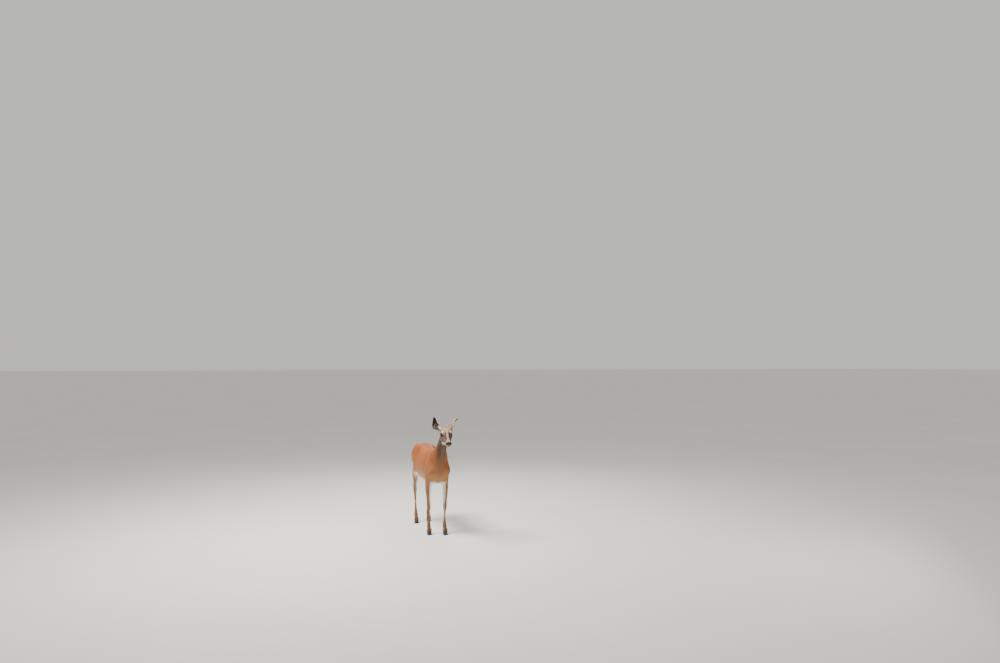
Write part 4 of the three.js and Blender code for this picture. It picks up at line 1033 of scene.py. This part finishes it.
        # Inside the cup: the dark tone and the darker depths and edges are painted shade.
        hollow = layered(
            SHADED_EAR_INSIDE,
            (DARK_MARK_AND_SHADE, 0.7 * rise(0.75 - t, 0, 0.4) + 0.4 * rim),
            # The left ear's pale tip inside is painted highlight.
            (CREAM, 0.6 * rise(t, 0.78, 0.92) * (node == "ear_left")),
            # Pale front edge inside: partly pale hair, partly painted highlight.
            (WHITE, 0.9 * rim * front_edge * rise(0.97 - t, 0, 0.1) * rise(t, 0.08, 0.26)),
        )
        shell = np.where(column(in_cup(from_hollow, t, normals)), hollow, shell)
        room = ear_width(t) * 1.6 + 12 - np.linalg.norm(from_hollow, axis=1)
        tone = layered(tone, (shell, rise(t, -0.10, 0.14) * rise(room, 0, 8) * (t < 1.05)))
    return np.clip(tone, 0, 1)


def paint(mesh, tones):
    """Keeps a colour at each corner of a mesh, for its material to read."""
    layer = mesh.color_attributes.new("tint", "FLOAT_COLOR", "POINT")
    layer.data.foreach_set("color", np.column_stack([tones, np.ones(len(tones))]).astype(np.float32).ravel())


def speckled(tree, shader, fineness, dark, pale, **noise):
    """Colours a hairy surface by its own tint, varied by a fine noise, and gives back that noise."""
    tint = add(tree, "Attribute", attribute_name="tint")
    place = add(tree, "TexCoord").outputs["Object"]
    grain = add(tree, "TexNoise", {"Vector": place, "Scale": 1 / fineness, **noise}).outputs["Fac"]
    shade = add(tree, "MapRange", {"Value": grain, "To Min": dark, "To Max": pale}).outputs["Result"]
    spread = add(tree, "MixRGB", {"Fac": 1.0, "Color1": tint.outputs["Color"], "Color2": shade},
                 blend_type="MULTIPLY")
    tree.links.new(spread.outputs["Color"], shader.inputs["Base Color"])
    return grain


# Hide seen between the hairs: dull, matt and finely pebbled by the hair roots, a shade darker than the coat.
hide.data.calc_loop_triangles()
skin_at = read(hide.data.vertices, "co", 3).astype(float)
skin_way = read(hide.data.vertex_normals, "vector", 3).astype(float)
skin_faces = read(hide.data.loop_triangles, "vertices", 3, np.int32)
paint(hide.data, markings(skin_at, skin_way) * HIDE_SHADE)
tree, shader, hairy_hide = material("hairy_hide", Roughness=0.7, Specular_IOR_Level=0.3)
roots = speckled(tree, shader, 0.0022, 0.72, 1.2, Detail=3.0, Roughness=0.6)
bump = add(tree, "Bump", {"Height": roots, "Strength": 0.7, "Distance": 0.0012})
tree.links.new(bump.outputs["Normal"], shader.inputs["Normal"])
hide.data.materials.clear()
hide.data.materials.append(hairy_hide)

# ---------------------------------------------------------------- Lie of the coat
# Hair grows away from the nose, over the face and neck, back along the trunk and down the legs, in one
# unbroken sweep. Each line below is a place in metres with the way that the hair lies there, on the left
# half.
HEAD_LIE = [
    ((0, -165, 14), (0, 1, 0.4)), ((14, -160, -16), (0.5, 1, -0.5)), ((0, -150, -42), (0, 1, -0.2)),
    ((0, -110, 16), (0.1, 1, 0.2)), ((22, -110, -8), (0.2, 1, -0.3)), ((0, -50, 26), (0.15, 1, 0.4)),
    ((30, -50, -10), (0.3, 1, -0.35)), ((12, -80, -42), (0.1, 1, -0.2)), ((0, 5, 48), (0.1, 1, 0.2)),
    ((36, -8, 38), (0.7, 0.7, 0.5)), ((50, 4, -10), (0.2, 0.8, -0.6)), ((56, 24, 10), (0.2, 1, -0.1)),
    ((45, 40, -40), (0.1, 0.7, -0.7)), ((0, 20, -70), (0, 0.8, -0.6)), ((0, 60, 44), (0.1, 1, -0.1)),
    ((40, 60, 36), (0.3, 1, 0.5)), ((0, 110, 20), (0, 0.8, -0.6)), ((50, 90, -30), (0.1, 0.6, -0.8)),
]
BODY_LIE = [
    ((0, -0.26, 0.99), (0, 0.75, -0.66)), ((0.06, -0.30, 0.88), (0, 0.62, -0.78)),
    ((0, -0.40, 0.90), (0, 0.25, -0.97)), ((0, -0.32, 0.70), (0.1, 0.1, -1)),
    ((0, -0.17, 0.87), (0, 1, -0.2)), ((0, 0.20, 0.87), (0, 1, -0.05)), ((0, 0.50, 0.86), (0, 0.9, -0.3)),
    ((0.04, 0.63, 0.72), (0.2, 0.2, -1)), ((0.11, -0.20, 0.70), (0, 0.45, -0.9)),
    ((0.12, -0.02, 0.72), (0, 0.8, -0.6)), ((0.13, 0.15, 0.70), (0, 0.9, -0.45)),
    ((0.11, 0.34, 0.70), (0, 0.62, -0.78)), ((0.12, 0.50, 0.72), (0, 0.5, -0.87)),
    ((0.10, 0.48, 0.60), (0, 0.35, -0.95)), ((0, -0.24, 0.53), (0, 0.95, -0.3)),
    ((0, 0.10, 0.50), (0.1, 1, 0)), ((0.03, 0.38, 0.60), (0, 0.9, 0.3)),
    ((0.09, -0.15, 0.45), (0, 0.15, -1)), ((0.08, -0.14, 0.15), (0, 0.05, -1)),
    ((0.10, 0.52, 0.46), (0, 0.4, -0.9)), ((0.08, 0.56, 0.30), (0, 0.1, -1)),
    ((0.08, 0.54, 0.12), (0, 0, -1)), ((0, 0.66, 0.76), (0, 0.4, -0.9)), ((0, 0.67, 0.60), (0, 0.05, -1)),
]
LIE_REACH = 4e-4


def lie(points, normals):
    """The way that hair lies at places on the hide, flat along it."""
    spots = in_head(points)
    total = np.zeros_like(points)
    rest = np.ones((len(points), 2))
    head_mirror = np.column_stack([np.sign(spots[:, 0]), rest])
    body_mirror = np.column_stack([np.where(np.abs(points[:, 0]) < 1e-5, 1, np.sign(points[:, 0])), rest])
    for seat, way in HEAD_LIE:
        far = ((one_side(spots) - seat) ** 2).sum(axis=1) / 1e6
        total += (way * head_mirror) @ head_axes.T / column(far + LIE_REACH) ** 2
    for seat, way in BODY_LIE:
        far = ((one_side(points) - seat) ** 2).sum(axis=1)
        total += unit(way) * body_mirror / column(far + LIE_REACH) ** 2
    for node in EAR_TURNS:
        t, from_hollow, _ = ear_places(spots, node)
        along, _, facing = ear_ways(node)
        inside = column(in_cup(from_hollow, t, normals))
        sweep = np.where(inside, along + 0.5 * facing, along) @ head_axes.T
        total = np.where(column(on_ear(spots, node)), sweep, total)
    total -= column((total * normals).sum(axis=1)) * normals
    return units(total, 1e-9)


# ---------------------------------------------------------------- Summer coat
# The summer coat is short, straight and close: stiff hairs under 25 millimetres that overlap like thatch,
# finest on the muzzle and feet, longer under the belly and behind the thighs. Each tuft is a few hairs laid
# together.
TUFTS_IN_ALL = 238000
# Where it grows: length, width and spacing in millimetres, and how far it stands off the hide in degrees.
MUZZLE_HAIR = (4.6, 0.75, 1.05, 7)
FACE_HAIR = (8.0, 1.0, 1.4, 7)
EAR_HAIR = (7.0, 1.1, 1.75, 8)
NECK_HAIR = (18.0, 1.8, 2.5, 7)
BODY_HAIR = (19.0, 2.0, 3.0, 6)
BELLY_HAIR = (25.0, 2.4, 3.1, 9)
THIGH_HAIR = (22.0, 2.0, 3.0, 7)
GROIN_HAIR = (9.0, 1.9, 2.7, 3)
LEG_HAIR = (12.0, 1.5, 2.3, 8)
FOOT_HAIR = (8.0, 1.3, 2.0, 8)
LID_HAIR = (3.6, 0.7, 1.0, 8)
CORONET_HAIR = (13.0, 1.8, 2.0, 12)


def growth(points, normals):
    """Length, width, spacing and stand of the tufts at places on the hide."""
    x, y, z = points.T
    spots = in_head(points)
    on_head = rise(-down_neck(spots[:, 1], spots[:, 2]), 0, 70) * rise(150 - spots[:, 1], 0, 60)
    groin = rise(y, 0.34, 0.42) * rise(0.08 - np.abs(x), 0, 0.02) * rise(z, 0.5, 0.54) * (z < 0.7)
    made = layered(
        np.array(BODY_HAIR),
        (THIGH_HAIR, rise(y, 0.45, 0.6)),
        (BELLY_HAIR, rise(-normals[:, 2], 0.4, 0.8) * rise(z, 0.44, 0.5)),
        (NECK_HAIR, rise(-y, 0.2, 0.3)),
        (GROIN_HAIR, groin),
        (LEG_HAIR, rise(0.52 - z, 0, 0.1)),
        (FOOT_HAIR, rise(0.28 - z, 0, 0.08)),
        (CORONET_HAIR, rise(0.06 - z, 0, 0.015)),
        (FACE_HAIR, on_head),
        (MUZZLE_HAIR, on_head * rise(-spots[:, 1], 40, 120)),
        (LID_HAIR, on_head * rise(9 - eye_rim(spots), 0, 6)),
    )
    for node in EAR_TURNS:
        made[on_ear(spots, node)] = EAR_HAIR
    return made


def bare(points):
    """Where no hair grows: lid rims, the nose pad, the mouth line and what the claws hide."""
    spots = in_head(points)
    side, back, up = one_side(spots).T
    pad_width = through(PAD_HALF_WIDTH, np.clip(up, PAD_LOW, PAD_TOP))
    on_pad = (back < PAD_BACK - 2 - 0.25 * up) & (side < pad_width - 0.5) & (np.abs(up + 7) < 17)
    on_lips = (np.abs(up - lips_at(back)) < 0.8) & (back < -90)
    return (eye_rim(spots) < 1.2) | on_pad | on_lips | (points[:, 2] < 0.034)


COAT_PARTS = ["face", "ears_and_poll", "neck", "left_fore", "right_fore", "left_hind", "right_hind",
              "forelegs", "hindlegs", "muzzle"]


def area_of(places):
    """Which of COAT_PARTS each place belongs to, as its number in that list."""
    x, y, z = places.T
    spots = in_head(places)
    part = np.where(y < 0.16, 3, 5) + (x < 0)
    on_head = (down_neck(spots[:, 1], spots[:, 2]) < 0) & (spots[:, 1] < 125) & (y < -0.3)
    for number, here in (
        (7, (z < 0.535) & (y < 0.16)),
        (8, (z < 0.555) & (y > 0.30)),
        (2, (y < -0.27) & (z > 0.56) | (y < -0.2) & (z > 0.86)),
        (1, on_head),
        (0, on_head & (spots[:, 1] < 30)),
        (9, on_head & (spots[:, 1] < -62)),
        *((1, on_ear(spots, node)) for node in EAR_TURNS),
    ):
        part = np.where(here, number, part)
    return part


# A tuft is a flat three-sided spindle: its root, two edges and a ridge at the middle, and its tip. Its shades
# run from root to tip, and its place on the map is a patch three thousandths long.
TUFT_FACES = np.array([(0, 3, 1), (0, 2, 3), (0, 1, 2), (4, 1, 3), (4, 3, 2), (4, 2, 1)])
TUFT_SHADES = np.array([0.80, 0.95, 0.95, 1.0, 1.10])
TUFT_PATCH = np.array([(-0.0015, 0), (0, 0.0012), (0, -0.0012), (0.0004, 0), (0.0015, 0)])
TUFT = TUFT_FACES, TUFT_PATCH, TUFT_SHADES
ROOT_DEPTH = 0.0006
TUFT_WIDEST = 0.42
TUFT_RIDGE = 0.6


def quick_mesh(name, corners, triangles):
    """A mesh of triangles made from arrays."""
    mesh = bpy.data.meshes.new(name)
    mesh.vertices.add(len(corners))
    mesh.vertices.foreach_set("co", np.asarray(corners, np.float32).ravel())
    mesh.loops.add(len(triangles) * 3)
    mesh.loops.foreach_set("vertex_index", np.asarray(triangles, np.int32).ravel())
    mesh.polygons.add(len(triangles))
    mesh.polygons.foreach_set("loop_start", np.arange(0, len(triangles) * 3, 3, dtype=np.int32))
    mesh.update(calc_edges=True)
    mesh.shade_smooth()
    return mesh


def unwrapped(triangles):
    """Each corner's place on an unwrap of some of the hide's own triangles."""
    used, numbers = np.unique(triangles, return_inverse=True)
    sheet = put("sheet", quick_mesh("sheet", skin_at[used], numbers.reshape(-1, 3)))
    bpy.context.view_layer.objects.active = sheet
    sheet.select_set(True)
    bpy.ops.object.mode_set(mode="EDIT")
    bpy.ops.mesh.select_all(action="SELECT")
    bpy.ops.uv.smart_project(angle_limit=1.15, island_margin=0.004, scale_to_bounds=True)
    bpy.ops.object.mode_set(mode="OBJECT")
    spread = read(sheet.data.uv_layers.active.data, "uv", 2).reshape(-1, 3, 2)
    bpy.data.objects.remove(sheet)
    return spread


def grow(name, shapes, tones, root_places, form):
    """Puts tufts or locks of one form in the scene as one piece, each with its map patch at its root."""
    faces, patch, shades = form
    faces = np.arange(len(shapes))[:, None, None] * shapes.shape[1] + faces
    mesh = quick_mesh(name, shapes.reshape(-1, 3), faces.reshape(-1, 3))
    paint(mesh, np.clip(tones[:, None] * shades[None, :, None], 0, 1).reshape(-1, 3))
    spread = (root_places[:, None] + patch).reshape(-1, 2)[faces.reshape(-1)]
    mesh.uv_layers.new(name="OFBake").data.foreach_set("uv", spread.astype(np.float32).ravel())
    mesh.materials.append(summer_hair)
    piece = put(name, mesh)
    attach(piece, "root")
    return piece


def random_shares(count):
    """Shares of a triangle's three corners that put places evenly over it."""
    near_by = np.sqrt(draw.uniform(size=count))
    far_by = draw.uniform(size=count) * near_by
    return np.column_stack([1 - near_by, near_by - far_by, far_by])[..., None]


# Hair of the summer coat: dry, stiff and slightly glossy, each tuft a little lighter or darker than the next.
tree, shader, summer_hair = material(
    "summer_hair", Roughness=0.6, Specular_IOR_Level=0.22, Sheen_Weight=0.04)
speckled(tree, shader, 0.0012, 0.82, 1.18, Detail=2.0)

draw = np.random.default_rng(23)
first, second, third = (skin_at[skin_faces[:, i]] for i in range(3))
middles = (first + second + third) / 3
face_ways = np.cross(second - first, third - first)
areas = np.linalg.norm(face_ways, axis=1) / 2
face_ways /= 2 * areas[:, None] + 1e-15
grown = growth(middles, face_ways)
# Each face wants its area in square millimetres over the square of the tufts' spacing there.
wanted = areas * ~bare(middles) * 1e6 / grown[:, 2] ** 2
stock = np.cumsum(wanted) * (TUFTS_IN_ALL / wanted.sum())
picks = np.searchsorted(stock, np.arange(TUFTS_IN_ALL) + draw.uniform(size=TUFTS_IN_ALL))
picks = np.minimum(picks, len(skin_faces) - 1)
shares = random_shares(TUFTS_IN_ALL)
roots = (skin_at[skin_faces[picks]] * shares).sum(axis=1)
up_ways = units((skin_way[skin_faces[picks]] * shares).sum(axis=1))
length, width, _, stand = (grown[picks] * [[0.001, 0.001, 1, math.pi / 180]]).T
length *= draw.uniform(0.75, 1.2, TUFTS_IN_ALL)
width *= draw.uniform(0.8, 1.2, TUFTS_IN_ALL)
stand *= draw.uniform(0.4, 1.6, TUFTS_IN_ALL)
along = lie(roots, up_ways)
sideways = np.cross(up_ways, along)
sway = 0.16 * drift(roots, 0.05, 7) + 0.10 * drift(roots, 0.014, 8) + draw.normal(0, 0.11, TUFTS_IN_ALL)
along = along * column(np.cos(sway)) + sideways * column(np.sin(sway))
sideways = np.cross(up_ways, along)

surface_tree = bvhtree.BVHTree.FromPolygons(skin_at.tolist(), skin_faces.tolist())


def settled(places, heights):
    """Places moved straight off the hide until they stand at their heights above it."""
    found = [surface_tree.find_nearest(p) for p in places.tolist()]
    feet = np.array([f[0] for f in found])
    ways = np.array([f[1] for f in found])
    above = ((places - feet) * ways).sum(axis=1)
    return places + ways * column(np.clip(heights - above, -0.006, 0.012))


reach = column(length * np.cos(stand))
off_hide = up_ways * ROOT_DEPTH
middle = settled(roots + along * reach * TUFT_WIDEST + off_hide,
                 0.0004 + TUFT_WIDEST * length * np.sin(stand))
tip = settled(roots + along * reach + off_hide, 0.0003 + length * np.sin(stand))
half = column(width / 2)
tufts = np.stack([roots - off_hide, middle + sideways * half, middle - sideways * half,
                  middle + up_ways * half * TUFT_RIDGE, tip], axis=1)
# Fine hair is lit as the hide under it is, only a little rounder, so each tuft carries the hide's own facing.
tuft_ways = units(np.stack([up_ways, up_ways + 0.5 * sideways, up_ways - 0.5 * sideways, up_ways,
                            up_ways + 0.4 * along], axis=1))
fade = 1 + draw.normal(0, 0.07, TUFTS_IN_ALL) + 0.06 * drift(roots, 0.02, 9)
tuft_tone = markings(roots, up_ways) * column(fade)
belongs = area_of(middles)
for number, part in enumerate(COAT_PARTS):
    here = belongs[picks] == number
    hide_faces = np.flatnonzero(belongs == number)
    sheet = unwrapped(skin_faces[hide_faces])
    root_places = (sheet[np.searchsorted(hide_faces, picks[here])] * shares[here]).sum(axis=1)
    coat = grow("coat_" + part, tufts[here], tuft_tone[here], root_places, TUFT)
    coat.data.normals_split_custom_set_from_vertices(tuft_ways[here].reshape(-1, 3))

# ---------------------------------------------------------------- Tail
# The tail is a bony dock with long hair on it: brown above, with a broad white fringe down each side and pure
# white beneath, hanging close against the rump. The hair parts into flat locks that droop over one another.
LOCK_STOPS = np.array([0.0, 0.22, 0.48, 0.76])
LOCK_SWELL = np.array([0.55, 1.0, 0.95, 0.6])
LOCK_FACES = [(0, 1, 2)]
for ring in range(0, 9, 3):
    for a, b in ((0, 2), (2, 1), (1, 0)):
        LOCK_FACES += [(ring + a, ring + b, ring + b + 3), (ring + a, ring + b + 3, ring + a + 3)]
LOCK_FACES = np.array(LOCK_FACES + [(9, 11, 12), (11, 10, 12), (10, 9, 12)])
LOCK_PATCH = np.column_stack([np.append(np.repeat(LOCK_STOPS, 3), 1) * 0.003 - 0.0015,
                              np.append(np.tile([0.001, -0.001, 0], 4), 0)])
LOCK_SHADES = np.append(np.repeat([0.74, 0.9, 1.0, 1.05], 3), 1.1)
LOCK = LOCK_FACES, LOCK_PATCH, LOCK_SHADES


def locks(starts, ways, tops, lengths, widths, droop):
    """Flat tapered locks of hair: from starts along ways, falling by droop, each closed and three-sided."""
    share = np.append(LOCK_STOPS, 1.0)[None, :, None]
    fall = column(lengths)[:, None] * share * share * np.asarray(droop)
    line = starts[:, None] + column(lengths)[:, None] * share * ways[:, None] + fall
    run = units(np.gradient(line, axis=1), 1e-12)
    aside = units(np.cross(tops[:, None], run), 1e-12)
    top = np.cross(run, aside)
    half = (widths[:, None] / 2 * LOCK_SWELL)[..., None]
    wide, thick = aside[:, :4] * half, top[:, :4] * half * 0.5
    rings = np.stack([line[:, :4] + wide, line[:, :4] - wide, line[:, :4] + thick], axis=2)
    return np.concatenate([rings.reshape(len(starts), 12, 3), line[:, 4:]], axis=1)


def roots_on(faces, count, weight):
    """Random roots on some of the hide's triangles: their places, ways up and places on the map."""
    sheet = unwrapped(skin_faces[faces])
    stock = np.cumsum(areas[faces] * weight)
    rows = np.minimum(np.searchsorted(stock, draw.uniform(0, stock[-1], count)), len(faces) - 1)
    shares = random_shares(count)
    ends = skin_faces[faces[rows]]
    up = units((skin_way[ends] * shares).sum(axis=1))
    return (skin_at[ends] * shares).sum(axis=1), up, (sheet[rows] * shares).sum(axis=1)


TAIL_LOCKS = 1900
TAIL_BROWN = tone_of("#8F5E3A")
dock_beads = [a + (b - a) * share for a, b in zip(dock, dock[1:]) for share in (0, 0.25, 0.5, 0.75, 1)]
far_from_dock = np.min([np.linalg.norm(middles - bead, axis=1) for bead in dock_beads], axis=0)
on_dock = (far_from_dock < 0.024) & (middles[:, 1] > dock[0][1] + 0.016)
starts, up, map_places = roots_on(np.flatnonzero(on_dock), TAIL_LOCKS, 1.0)
down_dock = np.clip((dock[0][2] - starts[:, 2]) / (dock[0][2] - dock[-1][2]), 0, 1)
beside = np.abs(up[:, 0])
behind_dock = up[:, 1] + 0.5 * up[:, 2]
lengths = 0.048 + 0.050 * rise(down_dock, 0.1, 0.7) - 0.008 * rise(behind_dock, 0.2, 0.8)
lengths *= draw.uniform(0.75, 1.12, TAIL_LOCKS)
ways = 0.36 * up + np.array([0, 0.06, -1.0]) + draw.normal(0, 0.06, (TAIL_LOCKS, 3))
ways += np.column_stack([np.sign(up[:, 0]) * beside * 0.22, 0 * beside, 0 * beside])
shapes = locks(starts - 0.001 * up, units(ways), up, lengths, draw.uniform(0.0035, 0.0065, TAIL_LOCKS),
               (0, -0.10, -0.06))
brown = rise(behind_dock, -0.05, 0.25) * rise(0.94 - beside, 0, 0.12)
tones = layered(WHITE, (TAIL_BROWN, brown), (SPINE, 0.6 * brown * rise(down_dock, 0.5, 0.95)))
tones *= column(1 + draw.normal(0, 0.07, TAIL_LOCKS))
tail_hair = grow("tail_hair", shapes, tones, map_places, LOCK)
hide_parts("tail")

# ---------------------------------------------------------------- Ear fringes, lashes and whiskers
# Long pale hairs grow inside each ear, thickest along its edges and over its root, and comb towards the tip.
# Stiff lashes stand out along the upper lids, and whiskers on the lips, chin and brow.
FRINGE_LOCKS = 380
LASHES = 34
for node in EAR_TURNS:
    t, from_hollow, edge = ear_places(in_head(middles), node)
    along, aside, facing = ear_ways(node)
    found = np.flatnonzero(on_ear(in_head(middles), node) & in_cup(from_hollow, t, face_ways) & (t < 0.9))
    front_edge = rise(-from_hollow[found] @ aside, -4, 8)
    edge_weight = 0.12 + rise(edge[found], -0.45, -0.1) * (1.8 * front_edge - 0.1)
    edge_weight += 0.3 * rise(0.3 - t[found], 0, 0.2) * front_edge
    starts, up, map_places = roots_on(found, FRINGE_LOCKS, edge_weight)
    t, from_hollow, edge = ear_places(in_head(starts), node)
    ways = 0.95 * along - 0.42 * units(from_hollow) + 0.12 * facing + draw.normal(0, 0.12, (FRINGE_LOCKS, 3))
    ways = units(ways) @ head_axes.T
    lengths = 0.022 * rise(1.1 - t, 0, 0.5) * draw.uniform(0.6, 1.2, FRINGE_LOCKS)
    widths = draw.uniform(0.0008, 0.0014, FRINGE_LOCKS)
    shapes = locks(starts - 0.0004 * up, ways, up, lengths, widths, along @ head_axes.T * 0.2)
    # Fringe hairs set deeper in the hollow are darkened as painted shade.
    tones = layered(CREAM, (WHITE, draw.uniform(0.2, 1, FRINGE_LOCKS)),
                    (SHADED_EAR_INSIDE, 0.75 * rise(-0.3 - edge, 0, 0.3)))
    grow(node + "_fringe", shapes, tones, map_places, LOCK)


def places_on_map(points):
    """Where points close to the hide come on an unwrap of the triangles under them."""
    faces = np.array([surface_tree.find_nearest(p)[2] for p in points.tolist()])
    used, rows = np.unique(faces, return_inverse=True)
    return unwrapped(skin_faces[used]).mean(axis=1)[rows]


LASH_WIDTH, WHISKER_WIDTH = 0.0006, 0.0004
WHISKER_BROWN = tone_of("#3A2E28")
WHISKERS = [((20, -156, -14), 7, 0.028), ((25, -138, -14), 6, 0.024), ((9, -148, -42), 5, 0.018),
            ((14, -126, -40), 3, 0.015), ((35, -2, 38), 3, 0.024), ((44, -22, -16), 3, 0.020)]
lid_shell = EYE_RADIUS + LID_THICKNESS - 0.4
lid_arc = (LID_HALF_LENGTH ** 2 + UPPER_LID_ARC ** 2) / (2 * UPPER_LID_ARC)
starts, ways, lengths, widths, tones = [], [], [], [], []
for sign in (1, -1):
    for share in np.linspace(-0.86, 0.92, LASHES):
        across_lid = LID_HALF_LENGTH * share
        height = math.sqrt(lid_arc ** 2 - across_lid ** 2) - lid_arc + UPPER_LID_ARC + 0.8
        out = math.sqrt(lid_shell ** 2 - across_lid ** 2 - height ** 2)
        seat = across_lid * lid_aside + height * lift + out * GAZE + EYE_SEAT
        way = 0.6 * GAZE + 0.75 * lift + 0.35 * share * lid_aside + draw.normal(0, 0.07, 3)
        starts.append(from_head([seat * [sign, 1, 1]])[0])
        ways.append(head_axes @ unit(way * [sign, 1, 1]))
        lengths.append(draw.uniform(0.008, 0.011) * (1.15 - 0.5 * abs(share)))
        widths.append(LASH_WIDTH)
        tones.append(BLACK)
for seat, count, long in WHISKERS:
    for sign in (1, -1):
        for _ in range(count):
            spot = from_head([(np.array(seat) + draw.normal(0, 4.5, 3)) * [sign, 1, 1]])[0]
            foot, up, _, _ = surface_tree.find_nearest(spot)
            sweep = [0.5 * sign, 0.2 + draw.normal(0, 0.25), -0.35 + draw.normal(0, 0.2)]
            starts.append(np.array(foot))
            ways.append(unit(0.8 * np.array(up) + 0.5 * (head_axes @ unit(sweep))))
            lengths.append(long * draw.uniform(0.7, 1.15))
            widths.append(WHISKER_WIDTH)
            tones.append(WHISKER_BROWN)
starts, ways, lengths = np.array(starts), np.array(ways), np.array(lengths)
tops = np.cross(np.cross(ways, [0, 0, 1.0]), ways)
shapes = locks(starts - 0.0008 * ways, ways, tops, lengths, np.array(widths), (0, 0, -0.08))
grow("lashes_and_whiskers", shapes, np.array(tones), places_on_map(starts), LOCK)

# ---------------------------------------------------------------- Floor, light and camera
# A plain pale floor under soft studio light. The camera stands eight metres off, a little above the doe's
# eyes.
FLOOR_SIZE = 400
CAMERA_AT = (-1.9350, -7.9914, 1.7500)
CAMERA_UP = 2.3553
CAMERA_TURN = 18.4155
LENS = 28.008

half = FLOOR_SIZE / 2
floor_corners = [(-half, -half, 0), (half, -half, 0), (half, half, 0), (-half, half, 0)]
floor = put("floor", mesh_of("floor", floor_corners, [(0, 1, 2, 3)]))
tree, shader, plaster = material("pale_floor_plaster", Roughness=0.85)
place = add(tree, "TexCoord").outputs["Object"]
patches = add(tree, "TexNoise", {"Vector": place, "Scale": 0.6, "Detail": 5.0})
tone = add(tree, "ValToRGB", {"Fac": patches.outputs["Fac"]})
tone.color_ramp.elements[0].color = linear("#E2DFD9")
tone.color_ramp.elements[1].color = linear("#ECEAE5")
tree.links.new(tone.outputs["Color"], shader.inputs["Base Color"])
floor.data.materials.append(plaster)

world = bpy.data.worlds.new("studio")
world.use_nodes = True
world.node_tree.nodes["Background"].inputs["Color"].default_value = linear("#EBEAE7")
world.node_tree.nodes["Background"].inputs["Strength"].default_value = 0.8
bpy.context.scene.world = world
for name, place, size, power in (
    ("key", (-2.0, -0.4, 4.2), 1.5, 330),
    ("fill", (3.4, -2.8, 2.0), 2.6, 35),
    ("back", (1.2, 3.0, 3.6), 2.4, 90),
):
    lamp = bpy.data.lights.new(name, "AREA")
    lamp.energy = power
    lamp.size = size
    light = bpy.data.objects.new(name, lamp)
    light.location = place
    light.rotation_euler = (Vector((0, 0, 0.7)) - Vector(place)).to_track_quat("-Z", "Y").to_euler()
    bpy.context.scene.collection.objects.link(light)

view = bpy.data.cameras.new("camera")
view.lens = LENS
view.sensor_width = 36
camera = bpy.data.objects.new("camera", view)
camera.location = CAMERA_AT
camera.rotation_euler = (math.radians(90 + CAMERA_UP), 0, math.radians(-CAMERA_TURN))
bpy.context.scene.collection.objects.link(camera)
bpy.context.scene.camera = camera
